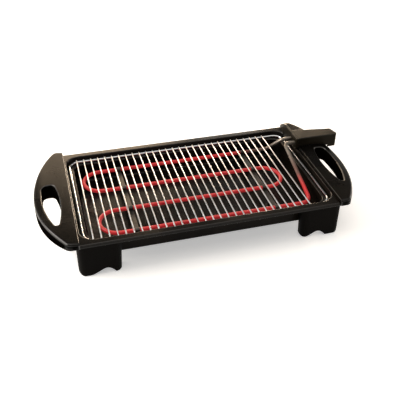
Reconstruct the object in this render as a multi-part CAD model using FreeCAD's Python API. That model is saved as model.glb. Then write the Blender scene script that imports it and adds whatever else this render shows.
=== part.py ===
import FreeCAD, Part
import math
import os

# Tabletop electric barbecue grill: a stamped drip tray on four moulded legs, half-moon handles at
# both ends, a tubular heating element that hangs from a control box, and a wire rack on top.
# Millimetres, +Z up, X along the grill, front towards -Y.
# The tray is drawn about its own middle; every piece is then shifted so that the origin lies on
# the table under the middle of the whole grill.

# Drip tray
SHEET = 1.2                   # enamelled steel sheet
OPENING_HALF_X = 207.0        # the tray's opening
OPENING_HALF_Y = 119.0
OPENING_CORNER = 24.0
RIM_END = 15.0                # flange at the ends, out to its turned-down lip
RIM_SIDE = 12.0               # and along the front and back
RIM_TOP = 62.0
RIM_CORNER = 8.0
LIP_DEPTH = 6.0
LIP_BEND = 2.0                # outside bend radius of the lip
LEDGE_DROP = 10.3             # rim top to the ledge that carries the rack
LEDGE_WIDTH = 10.0
UPPER_DRAFT = 2.0             # how far the wall leans in above the ledge
LOWER_DRAFT = 2.0             # and below it
PAN_DEPTH = 43.5              # rim top to the pan's floor
FLOOR_BEND = 4.0

# Wire rack
RACK_PLAY = 1.5               # round the rack, inside the tray's wall
SEAT_GAP = 0.3                # between a lift-out piece and what it rests on
FRAME_WIRE = 4.0
FRAME_CORNER = 18.0
CROSS_WIRE = 2.2
CROSS_COUNT = 29
CROSS_INSET = 14.0            # first cross wire from the frame's left wire
CROSS_FREE = 37.6             # last one from the right wire, where the element comes up
WELD = 0.1                    # how far a cross wire sinks into the frame

# Heating element
TUBE = 6.5
RUN_GAP = 15.0                # outer runs to the pan's walls, tube middle
ELEMENT_DROP = 20.0           # rim top to the element's middle
BACK_BEND_GAP = 11.0          # left back bend to the pan's wall, tube middle
FRONT_BEND_GAP = 21.0         # left front bend, the same way
RIGHT_BEND_GAP = 36.0         # middle bend, the same way
SIDE_RUN_GAP = 15.5           # the run along the right end, the same way
BACK_RUN_GAP = 28.0           # the back run's corner
TERMINAL_RISE = 12.0          # terminals above the rim
TERMINAL_INSET = 7.5          # front terminal from the end plate's front edge
TERMINAL_SPACING = 16.0
TERMINAL_REACH = 6.0          # tube past the end plate
SIDE_LEAN = 6.0               # how far the right run leans out as it climbs
BACK_LEAN = 3.0               # and the back run's rise, past that
TERMINAL_BEND = 9.0
DROP_BEND = 12.0
CORNER_BEND = 15.0
PIN = 2.6                     # terminal pin in each end of the tube
PIN_REACH = 9.0
BUSH_DIAMETER = 5.4
BUSH_LENGTH = 4.0
BRACE_INSET = 76.0            # cross braces from the pan's end walls
BRACE_WIDTH = 8.0
BRACE_SHEET = 1.5
CLIP_WALL = 1.0
BRACE_FOOT = 12.0

# Control box on the right end
PLATE_LENGTH = 66.0           # end plate
PLATE_BACK_INSET = 11.0       # its back edge from the opening's back edge
PLATE_SHEET = 5.0
PLATE_GAP = 1.5               # end plate to the handle
PLATE_ROUND = 11.0
BOX_HEIGHT = 22.0             # above the rim
BOX_OVERHANG = 18.0           # past the handle
BOX_INSET = 1.5               # box behind the end plate's front edge
BOX_WIDTH = 33.0
BOX_TAPER = 11.0              # narrower at its far end
BOX_SKEW = 6.0                # slant of its far end
BOX_WALL = 2.0
BOX_EDGE = 1.5
NOSE_DROP = 4.0               # far end below the rim, outside the handle
BASE_SHEET = 2.2
INLET_BORE = 7.4              # for the cord
INLET_BUSH = 11.0
INLET_FLANGE = 13.6
INLET_FLANGE_SHEET = 1.2
INLET_HEIGHT = 9.0            # above the rim
BLOCK_LENGTH = 18.0           # terminal block
BLOCK_WIDTH = 14.0
BLOCK_HEIGHT = 9.0
BLOCK_GAP = 1.3               # to the far boss
BLOCK_WAYS = 7.0              # between its two ways
WAY_SHARE = 0.35              # how far a lead reaches into the block
CUTOUT_DIAMETER = 12.0        # thermal cut-out
CUTOUT_HEIGHT = 5.0
CUTOUT_GAP = 8.0              # to where the leads come down
LEAD = 2.0
LEAD_BEND = 4.0
CONTROL_SCREW = 2.6
CONTROL_SCREW_HEAD = 4.2
CONTROL_SCREW_REACH = 8.0
HEAD_SINK = 0.7               # screw heads' share of the base's thickness
CONTROL_BOSS = 5.0

# Handles
HANDLE_INSET = 12.5           # inner edge, in from the rim's end
HANDLE_REACH = 58.5           # inner edge to the outermost point
HANDLE_END = 16.0             # length of the flat front and back ends
HANDLE_WRAP = 2.5             # past the rim's front and back edges
HANDLE_RISE = 5.0             # inner edge above the rim
HANDLE_CROWN = 7.0            # crown above the rim
HANDLE_CROWN_X = 24.0         # crown from the inner edge
HANDLE_OUTER_RISE = 0.5       # outer edge above the rim
HANDLE_SKIRT = 21.5           # skirt below the rim, at the middle
HANDLE_END_SKIRT = 4.5        # and at the ends
HANDLE_WALL = 3.0
HANDLE_CORNER = 11.0
HANDLE_EDGE = 4.0             # rounding along the outer edge
HANDLE_INNER_EDGE = 1.0       # and along the inner edge
GRIP = 13.0                   # bar between the finger hole and the outer edge
HOLE_FRONT_INSET = 53.5       # finger hole from the handle's front end
HOLE_BACK_INSET = 102.5       # and from its back end
HOLE_WIDTH = 26.6             # at the middle of its length
HOLE_FRONT_WIDTH = 6.0
HOLE_BACK_WIDTH = 19.0
HOLE_BACK_ROUND = 9.0
HOLE_FRONT_ROUND = 2.6
HOLE_EDGE = 1.8               # rounding of the hole's rim
FIT = 0.3                     # between pieces that are assembled
HANDLE_SCREW = 3.5
HANDLE_SCREW_HEAD = 6.4
HANDLE_SCREW_HEAD_DEEP = 2.1
HANDLE_SCREW_TIP = 1.5        # screw's tip below the handle's inner edge
HANDLE_BOSS = 8.0
HANDLE_SCREW_INSET = 6.0      # from the handle's inner edge
HANDLE_SCREW_END = 38.0       # outer screws from the handle's front and back ends
HANDLE_SCREW_GAP = 17.0       # last right-hand screw in front of the end plate

# Legs
LEG_LENGTH = 69.0
LEG_END_INSET = 7.0           # outer edge in from the rim's end
LEG_DRAFT = 3.0               # inner edge at the foot
LEG_GAP = 0.4                 # inside the rim's lip
LEG_CORNER = 11.0
LEG_BACK_CORNER = 4.0
LEG_WALL = 3.0
LEG_SHOULDER = 3.5
LEG_PAN_GAP = 0.6
ARCH_LEFT = 42.0              # arch top from the left edge of a left leg
ARCH_RIGHT = 30.0             # and of a right leg
ARCH_RISE = 24.0
ARCH_FALL = 14.0
ARCH_HEIGHT = 10.0
ARCH_START_SLOPE = 0.15
ARCH_END_SLOPE = -1.3
FOOT_ROUND = 8.0              # outer lower corner of a leg
FOOT_INNER_ROUND = 6.0
STUD = 4.0
STUD_LENGTH = 11.0
STUD_HOLE = 4.5
STUD_OFFSET = 8.0             # out from the pan's lower wall
STUD_INNER = 14.0             # studs from the leg's inner and outer edges
STUD_OUTER = 18.0
NUT_FLATS = 7.0
NUT_HEIGHT = 3.2

OVERCUT = 2.0                 # how far a cutter runs past what it cuts
NEAR = 0.01                   # tolerance when edges are picked by place
LEFT = FRONT = -1
RIGHT = BACK = 1

# Levels and places worked out from the sizes above
RIM_HALF_X = OPENING_HALF_X + RIM_END
RIM_HALF_Y = OPENING_HALF_Y + RIM_SIDE
RIM_UNDER = RIM_TOP - SHEET
LEDGE_TOP = RIM_TOP - LEDGE_DROP
LEDGE_UNDER = LEDGE_TOP - SHEET
FLOOR_TOP = RIM_TOP - PAN_DEPTH
FLOOR_UNDER = FLOOR_TOP - SHEET
LEDGE_OUT_X = OPENING_HALF_X - UPPER_DRAFT
LEDGE_OUT_Y = OPENING_HALF_Y - UPPER_DRAFT
LEDGE_IN_X = LEDGE_OUT_X - LEDGE_WIDTH
LEDGE_IN_Y = LEDGE_OUT_Y - LEDGE_WIDTH
FLOOR_HALF_X = LEDGE_IN_X - LOWER_DRAFT
FLOOR_HALF_Y = LEDGE_IN_Y - LOWER_DRAFT

FRAME_Z = LEDGE_TOP + SEAT_GAP + FRAME_WIRE / 2
FRAME_HALF_X = LEDGE_OUT_X - RACK_PLAY - FRAME_WIRE / 2
FRAME_HALF_Y = LEDGE_OUT_Y - RACK_PLAY - FRAME_WIRE / 2
CROSS_Z = FRAME_Z + FRAME_WIRE / 2 + CROSS_WIRE / 2 - WELD
CROSS_PITCH = (2 * FRAME_HALF_X - CROSS_INSET - CROSS_FREE) / (CROSS_COUNT - 1)

RUN_SPACING = (FLOOR_HALF_Y - RUN_GAP) / 1.5
ELEMENT_Z = RIM_TOP - ELEMENT_DROP
TERMINAL_Z = RIM_TOP + TERMINAL_RISE

HANDLE_INNER = RIM_HALF_X - HANDLE_INSET
HANDLE_OUTER = HANDLE_INNER + HANDLE_REACH
HANDLE_HALF_Y = RIM_HALF_Y + HANDLE_WRAP
HANDLE_UNDER = RIM_TOP - HANDLE_SKIRT
HANDLE_ABOVE = RIM_TOP + 2 * HANDLE_CROWN
HOLE_FRONT = -HANDLE_HALF_Y + HOLE_FRONT_INSET
HOLE_BACK = HANDLE_HALF_Y - HOLE_BACK_INSET

PLATE_OUT = HANDLE_INNER - PLATE_GAP
PLATE_X = PLATE_OUT - PLATE_SHEET
PLATE_BACK = OPENING_HALF_Y - PLATE_BACK_INSET
PLATE_FRONT = PLATE_BACK - PLATE_LENGTH
BOX_BOTTOM = RIM_TOP + SEAT_GAP
BOX_TOP = RIM_TOP + BOX_HEIGHT
BOX_END = HANDLE_OUTER + BOX_OVERHANG
BOX_FRONT = PLATE_FRONT + BOX_INSET
BOX_BACK = BOX_FRONT + BOX_WIDTH
BOX_MIDDLE = BOX_FRONT + (BOX_WIDTH - BOX_TAPER / 2) / 2
BASE_TOP = BOX_BOTTOM + BASE_SHEET
TERMINAL_FRONT = PLATE_FRONT + TERMINAL_INSET
TERMINAL_Y = (TERMINAL_FRONT + TERMINAL_SPACING, TERMINAL_FRONT)
TUBE_END = PLATE_OUT + TERMINAL_REACH

HANDLE_SCREW_X = HANDLE_INNER + HANDLE_SCREW_INSET
HANDLE_SCREW_TOP = RIM_TOP + HANDLE_RISE - HANDLE_SCREW_TIP
HANDLE_SCREW_FIRST = -HANDLE_HALF_Y + HANDLE_SCREW_END
HANDLE_SCREW_LAST = PLATE_FRONT - HANDLE_SCREW_GAP
LEFT_SCREW_Y = (HANDLE_SCREW_FIRST, 0.0, -HANDLE_SCREW_FIRST)
RIGHT_SCREW_Y = (HANDLE_SCREW_FIRST, (HANDLE_SCREW_FIRST + HANDLE_SCREW_LAST) / 2, HANDLE_SCREW_LAST)

LEG_OUTER = RIM_HALF_X - LEG_END_INSET
LEG_INNER = LEG_OUTER - LEG_LENGTH
LEG_FRONT = RIM_HALF_Y - SHEET - LEG_GAP
LEG_BACK = LEDGE_IN_Y + SHEET + LEG_PAN_GAP
STUD_Y = LEDGE_IN_Y + SHEET + STUD_OFFSET
STUD_X = (LEG_INNER + STUD_INNER, LEG_OUTER - STUD_OUTER)
SHOULDER_UNDER = LEDGE_UNDER - LEG_SHOULDER
BRACE_X = FLOOR_HALF_X - BRACE_INSET
NOSE_START = HANDLE_OUTER + FIT
NOSE_BOTTOM = RIM_TOP - NOSE_DROP
BLOCK_X = NOSE_START - CONTROL_BOSS - BLOCK_GAP - BLOCK_LENGTH

# The whole grill reaches further on the right, where the control box stands out
ORIGIN_X = (BOX_END - HANDLE_OUTER) / 2


def vec(x, y, z=0.0):
    return FreeCAD.Vector(x, y, z)


def line(a, b):
    return Part.LineSegment(a, b).toShape()


def arc(a, middle, b):
    return Part.Arc(a, middle, b).toShape()


def block(low, high):
    """Box between two corners."""
    return Part.makeBox(high[0] - low[0], high[1] - low[1], high[2] - low[2], vec(*low))


def rod(diameter, start, end):
    """Round bar from one point to another."""
    along = end - start
    return Part.makeCylinder(diameter / 2, along.Length, start, along)


def rounded_wire(low_x, high_x, low_y, high_y, radii, z):
    """Rectangle whose corners have the given radii, counter-clockwise from the low corner."""
    corners = [(low_x, low_y), (high_x, low_y), (high_x, high_y), (low_x, high_y)]
    steps = [(1, 0), (0, 1), (-1, 0), (0, -1)]
    edges = []
    for i in range(4):
        x, y = corners[i]
        radius = radii[i]
        before, after = steps[i - 1], steps[i]
        start = vec(x - before[0] * radius, y - before[1] * radius, z)
        end = vec(x + after[0] * radius, y + after[1] * radius, z)
        centre = vec(x + (after[0] - before[0]) * radius, y + (after[1] - before[1]) * radius, z)
        outward = vec(x, y, z) - centre
        middle = centre + outward * (radius / outward.Length)
        edges.append(arc(start, middle, end))
        following = corners[(i + 1) % 4]
        gap = radii[(i + 1) % 4]
        edges.append(line(end, vec(following[0] - after[0] * gap, following[1] - after[1] * gap, z)))
    return Part.Wire(edges)


def round_loop(half_x, half_y, radius, z):
    return rounded_wire(-half_x, half_x, -half_y, half_y, [radius] * 4, z)


def slab(wire, height):
    return Part.Face(wire).extrude(vec(0, 0, height))


def ruled(lower, upper):
    return Part.makeLoft([lower, upper], True, True)


def bent_path(points, radii):
    """Straight runs through the points, joined by tangent arcs of the given radii."""
    edges = []
    at = points[0]
    for i in range(1, len(points) - 1):
        into = (points[i] - points[i - 1]).normalize()
        out = (points[i + 1] - points[i]).normalize()
        turn = into.getAngle(out)
        reach = radii[i - 1] * math.tan(turn / 2)
        start = points[i] - into * reach
        end = points[i] + out * reach
        inward = (out - into).normalize()
        middle = points[i] + inward * (radii[i - 1] / math.cos(turn / 2) - radii[i - 1])
        if (start - at).Length > 1e-6:
            edges.append(line(at, start))
        edges.append(arc(start, middle, end))
        at = end
    edges.append(line(at, points[-1]))
    return Part.Wire(edges)


def tube_along(path, diameter):
    first = path.Edges[0]
    along = first.tangentAt(first.FirstParameter)
    ring = Part.Wire(Part.makeCircle(diameter / 2, first.valueAt(first.FirstParameter), along))
    return path.makePipeShell([ring], True, False)


def mirrored_x(shape):
    return shape.mirror(vec(0, 0), vec(1, 0))


def mirrored_y(shape):
    return shape.mirror(vec(0, 0), vec(0, 1))


def group(shapes):
    return Part.makeCompound(shapes)


def edges_where(shape, test):
    return [edge for edge in shape.Edges if test(edge)]


def x_min(edge):
    return edge.BoundBox.XMin


def x_max(edge):
    return edge.BoundBox.XMax


def z_min(edge):
    return edge.BoundBox.ZMin


def pan_hollow(wall):
    """The tray's inside, or with a wall its outside below the rim."""
    top = round_loop(OPENING_HALF_X + wall, OPENING_HALF_Y + wall, OPENING_CORNER + wall, RIM_TOP)
    ledge = round_loop(LEDGE_OUT_X + wall, LEDGE_OUT_Y + wall, OPENING_CORNER - UPPER_DRAFT + wall,
                       LEDGE_TOP - wall)
    corner = OPENING_CORNER - UPPER_DRAFT - LEDGE_WIDTH / 2 + wall
    inner = round_loop(LEDGE_IN_X + wall, LEDGE_IN_Y + wall, corner, LEDGE_TOP - wall)
    floor = round_loop(FLOOR_HALF_X + wall, FLOOR_HALF_Y + wall, corner - LOWER_DRAFT / 2,
                       FLOOR_TOP - wall)
    lower = ruled(floor, inner)
    bottom = edges_where(lower, lambda e: e.BoundBox.ZMax < FLOOR_TOP - wall + NEAR)
    lower = lower.makeFillet(FLOOR_BEND + wall, bottom)
    return ruled(ledge, top).fuse(lower)


def drip_tray():
    lip_end = RIM_TOP - LIP_DEPTH
    rim = slab(round_loop(RIM_HALF_X, RIM_HALF_Y, RIM_CORNER, lip_end), LIP_DEPTH)
    rim = rim.makeFillet(LIP_BEND, edges_where(rim, lambda e: e.BoundBox.ZMin > RIM_TOP - NEAR))
    inner_loop = round_loop(RIM_HALF_X - SHEET, RIM_HALF_Y - SHEET, RIM_CORNER - SHEET, lip_end - OVERCUT)
    under = slab(inner_loop, RIM_UNDER - lip_end + OVERCUT)
    tray = rim.cut(under).fuse(pan_hollow(SHEET)).cut(pan_hollow(0.0))
    holes = []
    for x, y in handle_screw_places():
        holes.append(rod(HANDLE_SCREW + FIT, vec(x, y, RIM_UNDER - OVERCUT), vec(x, y, RIM_TOP + OVERCUT)))
    return tray.cut(holes).removeSplitter()


def handle_screw_places():
    left = [(-HANDLE_SCREW_X, y) for y in LEFT_SCREW_Y]
    right = [(HANDLE_SCREW_X, y) for y in RIGHT_SCREW_Y]
    return left + right


def rack_frame():
    loop = round_loop(FRAME_HALF_X, FRAME_HALF_Y, FRAME_CORNER, FRAME_Z)
    return tube_along(loop, FRAME_WIRE)


def cross_wires():
    first = -FRAME_HALF_X + CROSS_INSET
    places = [first + i * CROSS_PITCH for i in range(CROSS_COUNT)]
    half = FRAME_HALF_Y + FRAME_WIRE / 2
    return group([rod(CROSS_WIRE, vec(x, -half, CROSS_Z), vec(x, half, CROSS_Z)) for x in places])


def run_places():
    """Y of the four long runs, from the back to the front."""
    return [RUN_SPACING * step for step in (1.5, 0.5, -0.5, -1.5)]


def element_path():
    back, middle_back, middle_front, front = run_places()
    left_back = -FLOOR_HALF_X + BACK_BEND_GAP
    left_front = -FLOOR_HALF_X + FRONT_BEND_GAP
    right = FLOOR_HALF_X - RIGHT_BEND_GAP
    side = FLOOR_HALF_X - SIDE_RUN_GAP
    terminal_back, terminal_front = TERMINAL_Y
    z = ELEMENT_Z
    high = TERMINAL_Z
    points = [
        vec(TUBE_END, terminal_back, high),
        vec(side + SIDE_LEAN + BACK_LEAN, terminal_back, high),
        vec(FLOOR_HALF_X - BACK_RUN_GAP, back, z),
        vec(left_back, back, z),
        vec(left_back, middle_back, z),
        vec(right, middle_back, z),
        vec(right, middle_front, z),
        vec(left_front, middle_front, z),
        vec(left_front, front, z),
        vec(side, front, z),
        vec(side + SIDE_LEAN, terminal_front, high),
        vec(TUBE_END, terminal_front, high),
    ]
    loop = RUN_SPACING / 2
    return bent_path(points, [DROP_BEND, CORNER_BEND] + [loop] * 6 + [CORNER_BEND, TERMINAL_BEND])


def heating_element():
    return tube_along(element_path(), TUBE)


def at_terminals(start, length, diameter):
    return group([rod(diameter, vec(start, y, TERMINAL_Z), vec(start + length, y, TERMINAL_Z))
                  for y in TERMINAL_Y])


def insulating_bushes():
    bushes = at_terminals(TUBE_END, BUSH_LENGTH, BUSH_DIAMETER)
    return group([bush.cut(pin) for bush, pin in zip(bushes.Solids, terminal_pins().Solids)])


def terminal_pins():
    return at_terminals(TUBE_END, PIN_REACH, PIN)


def element_brace(x):
    """Flat cross strip with a clip round every run and two feet over the pan's floor."""
    runs = run_places()
    top = ELEMENT_Z - TUBE / 2
    low_x = x - BRACE_WIDTH / 2
    high_x = x + BRACE_WIDTH / 2
    end = runs[0] + TUBE / 2 + CLIP_WALL
    foot_bottom = FLOOR_TOP + SEAT_GAP
    strip = block((low_x, -end, top - BRACE_SHEET), (high_x, end, top))
    clips = [rod(TUBE + 2 * CLIP_WALL, vec(low_x, y, ELEMENT_Z), vec(high_x, y, ELEMENT_Z)) for y in runs]
    feet = []
    for y in (RUN_SPACING, -RUN_SPACING):
        feet.append(block((low_x, y, foot_bottom), (high_x, y + BRACE_SHEET, top)))
        feet.append(block((low_x, y, foot_bottom), (high_x, y + BRACE_FOOT, foot_bottom + BRACE_SHEET)))
    past = vec(OVERCUT, 0, 0)
    bores = [rod(TUBE, vec(low_x, y, ELEMENT_Z) - past, vec(high_x, y, ELEMENT_Z) + past) for y in runs]
    return strip.fuse(clips + feet).cut(bores).removeSplitter()


def box_outline(inset, z):
    """Plan of the control box: a bar that tapers to a slanted far end."""
    slant = BOX_SKEW / (BOX_WIDTH - BOX_TAPER)
    front = BOX_FRONT + inset
    far_back = BOX_BACK - BOX_TAPER - inset
    end = BOX_END - inset * math.hypot(1, slant)
    return Part.makePolygon([
        vec(PLATE_OUT, front, z),
        vec(end - slant * (front - BOX_FRONT), front, z),
        vec(end - slant * (far_back - BOX_FRONT), far_back, z),
        vec(PLATE_OUT, BOX_BACK - inset, z),
        vec(PLATE_OUT, front, z),
    ])


def past_handle(start):
    """The box's far end, everything from a given X."""
    return block((start, 0, 0), (BOX_END + OVERCUT, RIM_HALF_Y, BOX_TOP + OVERCUT))


def boss_places():
    """One boss behind the terminals and one in front of the far end."""
    near = PLATE_OUT + FIT + CONTROL_BOSS / 2
    far = NOSE_START - CONTROL_BOSS / 2
    in_from_wall = BOX_WALL + CONTROL_BOSS / 2 + FIT
    return [(near, BOX_BACK - in_from_wall), (far, BOX_FRONT + in_from_wall)]


def control_cover():
    """Hollow cover, deeper past the handle, with screw bosses and the cord's hole."""
    shell = slab(box_outline(0.0, BOX_BOTTOM), BOX_TOP - BOX_BOTTOM)
    nose = slab(box_outline(0.0, NOSE_BOTTOM), BOX_BOTTOM - NOSE_BOTTOM)
    shell = shell.fuse(nose.common(past_handle(NOSE_START))).removeSplitter()
    top = edges_where(shell, lambda e: z_min(e) > BOX_TOP - NEAR and x_max(e) > PLATE_OUT + NEAR)
    far = edges_where(shell, lambda e: e.BoundBox.ZLength > BOX_HEIGHT and x_min(e) > NOSE_START + NEAR)
    shell = shell.makeFillet(BOX_EDGE, top + far)
    inside = slab(box_outline(BOX_WALL, BOX_BOTTOM), BOX_TOP - BOX_BOTTOM - BOX_WALL)
    inside_nose = slab(box_outline(BOX_WALL, NOSE_BOTTOM), BOX_BOTTOM - NOSE_BOTTOM)
    shell = shell.cut(inside).cut(inside_nose.common(past_handle(NOSE_START + BOX_WALL)))
    roof = BOX_TOP - BOX_WALL
    screw_top = BASE_TOP + CONTROL_SCREW_REACH
    bosses = []
    pilots = []
    for x, y in boss_places():
        bosses.append(rod(CONTROL_BOSS, vec(x, y, BASE_TOP), vec(x, y, roof)))
        pilots.append(rod(CONTROL_SCREW + FIT, vec(x, y, BASE_TOP), vec(x, y, screw_top + FIT)))
    return shell.fuse(bosses).cut(pilots).cut(inlet_hole())


def end_slope():
    """Outward direction of the box's slanted far end."""
    return vec(BOX_WIDTH - BOX_TAPER, BOX_SKEW, 0).normalize()


def inlet_middle():
    """Middle of the far end's outer face, where the cord comes in."""
    return vec(BOX_END - BOX_SKEW / 2, BOX_FRONT + (BOX_WIDTH - BOX_TAPER) / 2, RIM_TOP + INLET_HEIGHT)


def inlet_hole():
    out = end_slope()
    start = inlet_middle() - out * (BOX_WALL + OVERCUT)
    return rod(INLET_BUSH + FIT, start, inlet_middle() + out * OVERCUT)


def inlet_bush():
    out = end_slope()
    face = inlet_middle()
    inner = face - out * (BOX_WALL + FIT)
    collar_start = inner - out * INLET_FLANGE_SHEET
    lip_end = face + out * INLET_FLANGE_SHEET
    body = rod(INLET_BUSH, collar_start, face)
    collar = rod(INLET_FLANGE, collar_start, inner)
    lip = rod(INLET_FLANGE, face, lip_end)
    bore = rod(INLET_BORE, collar_start - out * OVERCUT, lip_end + out * OVERCUT)
    return body.fuse([collar, lip]).cut(bore).removeSplitter()


def control_base():
    """Stepped bottom plate inside the cover, lower past the handle."""
    step = NOSE_START + BOX_WALL + FIT
    main = slab(box_outline(BOX_WALL + FIT, BOX_BOTTOM), BASE_SHEET).cut(past_handle(step + BASE_SHEET))
    deep = slab(box_outline(BOX_WALL + FIT, NOSE_BOTTOM), BASE_TOP - NOSE_BOTTOM).common(past_handle(step))
    hollow = past_handle(step + BASE_SHEET)
    hollow.translate(vec(0, 0, NOSE_BOTTOM + BASE_SHEET))
    plate = main.fuse(deep.cut(hollow))
    sink = BASE_TOP - BASE_SHEET * HEAD_SINK
    for x, y in boss_places():
        plate = plate.cut(rod(CONTROL_SCREW + FIT, vec(x, y, 0), vec(x, y, BOX_TOP)))
        plate = plate.cut(rod(CONTROL_SCREW_HEAD + FIT, vec(x, y, 0), vec(x, y, sink)))
    return plate.removeSplitter()


def terminal_block():
    start = BLOCK_X
    low = BOX_MIDDLE - BLOCK_WIDTH / 2
    level = BASE_TOP + BLOCK_HEIGHT / 2
    way_end = start + BLOCK_LENGTH * WAY_SHARE
    body = block((start, low, BASE_TOP), (start + BLOCK_LENGTH, low + BLOCK_WIDTH, BASE_TOP + BLOCK_HEIGHT))
    ways = [rod(LEAD + FIT, vec(start - OVERCUT, y, level), vec(way_end, y, level)) for y in way_places()]
    return body.cut(ways)


def way_places():
    return (BOX_MIDDLE + BLOCK_WAYS / 2, BOX_MIDDLE - BLOCK_WAYS / 2)


def element_leads():
    """Insulated leads from the terminal pins into the terminal block."""
    start = TUBE_END + PIN_REACH
    level = BASE_TOP + BLOCK_HEIGHT / 2
    leads = []
    for pin_y, way_y in zip(TERMINAL_Y, way_places()):
        points = [
            vec(start, pin_y, TERMINAL_Z),
            vec(start + LEAD_BEND, pin_y, TERMINAL_Z),
            vec(BLOCK_X - LEAD_BEND, way_y, level),
            vec(BLOCK_X + BLOCK_LENGTH * WAY_SHARE, way_y, level),
        ]
        leads.append(tube_along(bent_path(points, [LEAD_BEND, LEAD_BEND]), LEAD))
    return group(leads)


def thermal_cutout():
    x = BLOCK_X - LEAD_BEND - CUTOUT_GAP - CUTOUT_DIAMETER / 2
    return rod(CUTOUT_DIAMETER, vec(x, BOX_MIDDLE, BASE_TOP), vec(x, BOX_MIDDLE, BASE_TOP + CUTOUT_HEIGHT))


def end_plate():
    """Plate that closes the box towards the rack and carries the element's two ends."""
    plate = block((PLATE_X, PLATE_FRONT, BOX_BOTTOM), (PLATE_OUT, PLATE_BACK, BOX_TOP))
    top = edges_where(plate, lambda e: z_min(e) > BOX_TOP - NEAR and e.BoundBox.YMin > PLATE_BACK - NEAR)
    plate = plate.makeFillet(PLATE_ROUND, top)
    holes = []
    for y in TERMINAL_Y:
        start = vec(PLATE_X - OVERCUT, y, TERMINAL_Z)
        holes.append(rod(TUBE + FIT, start, vec(PLATE_OUT + OVERCUT, y, TERMINAL_Z)))
    return plate.cut(holes)


def control_screws():
    screws = []
    sink = BASE_TOP - BASE_SHEET * HEAD_SINK
    for x, y in boss_places():
        head = rod(CONTROL_SCREW_HEAD, vec(x, y, BOX_BOTTOM), vec(x, y, sink))
        shank = rod(CONTROL_SCREW, vec(x, y, sink), vec(x, y, BASE_TOP + CONTROL_SCREW_REACH))
        screws.append(head.fuse(shank).removeSplitter())
    return group(screws)


def handle_outline():
    end_x = HANDLE_INNER + HANDLE_END
    inner_front = vec(HANDLE_INNER, -HANDLE_HALF_Y)
    inner_back = vec(HANDLE_INNER, HANDLE_HALF_Y)
    outer_front = vec(end_x, -HANDLE_HALF_Y)
    outer_back = vec(end_x, HANDLE_HALF_Y)
    return Part.Wire([
        line(inner_back, inner_front),
        line(inner_front, outer_front),
        arc(outer_front, vec(HANDLE_OUTER, 0), outer_back),
        line(outer_back, inner_back),
    ])


def handle_arc():
    """Radius of the handle's outer edge, and the X of its centre."""
    sagitta = HANDLE_REACH - HANDLE_END
    radius = (sagitta ** 2 + HANDLE_HALF_Y ** 2) / (2 * sagitta)
    return radius, HANDLE_OUTER - radius


def handle_crown(drop):
    """Everything below the handle's crowned top, or below that surface lowered by drop."""
    past = HANDLE_OUTER + OVERCUT
    before = HANDLE_INNER - OVERCUT
    low = HANDLE_UNDER - OVERCUT - drop
    start = vec(before, 0, RIM_TOP + HANDLE_RISE - drop)
    crown = vec(HANDLE_INNER + HANDLE_CROWN_X, 0, RIM_TOP + HANDLE_CROWN - drop)
    end = vec(past, 0, RIM_TOP + HANDLE_OUTER_RISE - drop)
    outline = Part.Wire([
        arc(start, crown, end),
        line(end, vec(past, 0, low)),
        line(vec(past, 0, low), vec(before, 0, low)),
        line(vec(before, 0, low), start),
    ])
    half = HANDLE_HALF_Y + OVERCUT
    solid = Part.Face(outline).extrude(vec(0, 2 * half, 0))
    solid.translate(vec(0, -half, 0))
    return solid


def finger_hole():
    """Prism of the finger hole: a crescent along the grip, blunt at the back and narrow at the front."""
    radius, centre = handle_arc()
    radius = radius - GRIP
    middle = (HOLE_FRONT + HOLE_BACK) / 2

    def outer(y):
        return vec(centre + math.sqrt(radius ** 2 - y ** 2), y)

    inner_front = outer(HOLE_FRONT) - vec(HOLE_FRONT_WIDTH, 0)
    inner_back = outer(HOLE_BACK) - vec(HOLE_BACK_WIDTH, 0)
    wire = Part.Wire([
        arc(outer(HOLE_FRONT), outer(middle), outer(HOLE_BACK)),
        line(outer(HOLE_BACK), inner_back),
        arc(inner_back, outer(middle) - vec(HOLE_WIDTH, 0), inner_front),
        line(inner_front, outer(HOLE_FRONT)),
    ])
    prism = slab(wire, HANDLE_ABOVE)
    for round_by, end in ((HOLE_BACK_ROUND, HOLE_BACK), (HOLE_FRONT_ROUND, HOLE_FRONT)):
        upright = edges_where(prism, lambda e: e.BoundBox.ZLength > RIM_TOP)
        corners = [e for e in upright if abs(e.BoundBox.YMin - end) < NEAR]
        prism = prism.makeFillet(round_by, corners)
    return prism


def grown(prism, by):
    """The same prism, larger all round by a distance, or smaller if it is negative."""
    floor = [face for face in prism.Faces if face.BoundBox.ZMax < NEAR][0]
    return floor.makeOffset2D(by).extrude(vec(0, 0, HANDLE_ABOVE))


def below_skirt():
    """Everything under the skirt's edge, which dips from both ends to the middle."""
    half = HANDLE_HALF_Y + OVERCUT
    ends = RIM_TOP - HANDLE_END_SKIRT
    back = vec(0, half, ends)
    front = vec(0, -half, ends)
    outline = Part.Wire([
        arc(front, vec(0, 0, HANDLE_UNDER), back),
        line(back, vec(0, half, -OVERCUT)),
        line(vec(0, half, -OVERCUT), vec(0, -half, -OVERCUT)),
        line(vec(0, -half, -OVERCUT), front),
    ])
    return Part.Face(outline).extrude(vec(HANDLE_OUTER + OVERCUT, 0, 0))


def handle_prism():
    body = slab(handle_outline(), HANDLE_ABOVE)
    corners = edges_where(body, lambda e: e.BoundBox.ZLength > RIM_TOP and x_min(e) > HANDLE_INNER + NEAR)
    return body.makeFillet(HANDLE_CORNER, corners)


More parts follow.
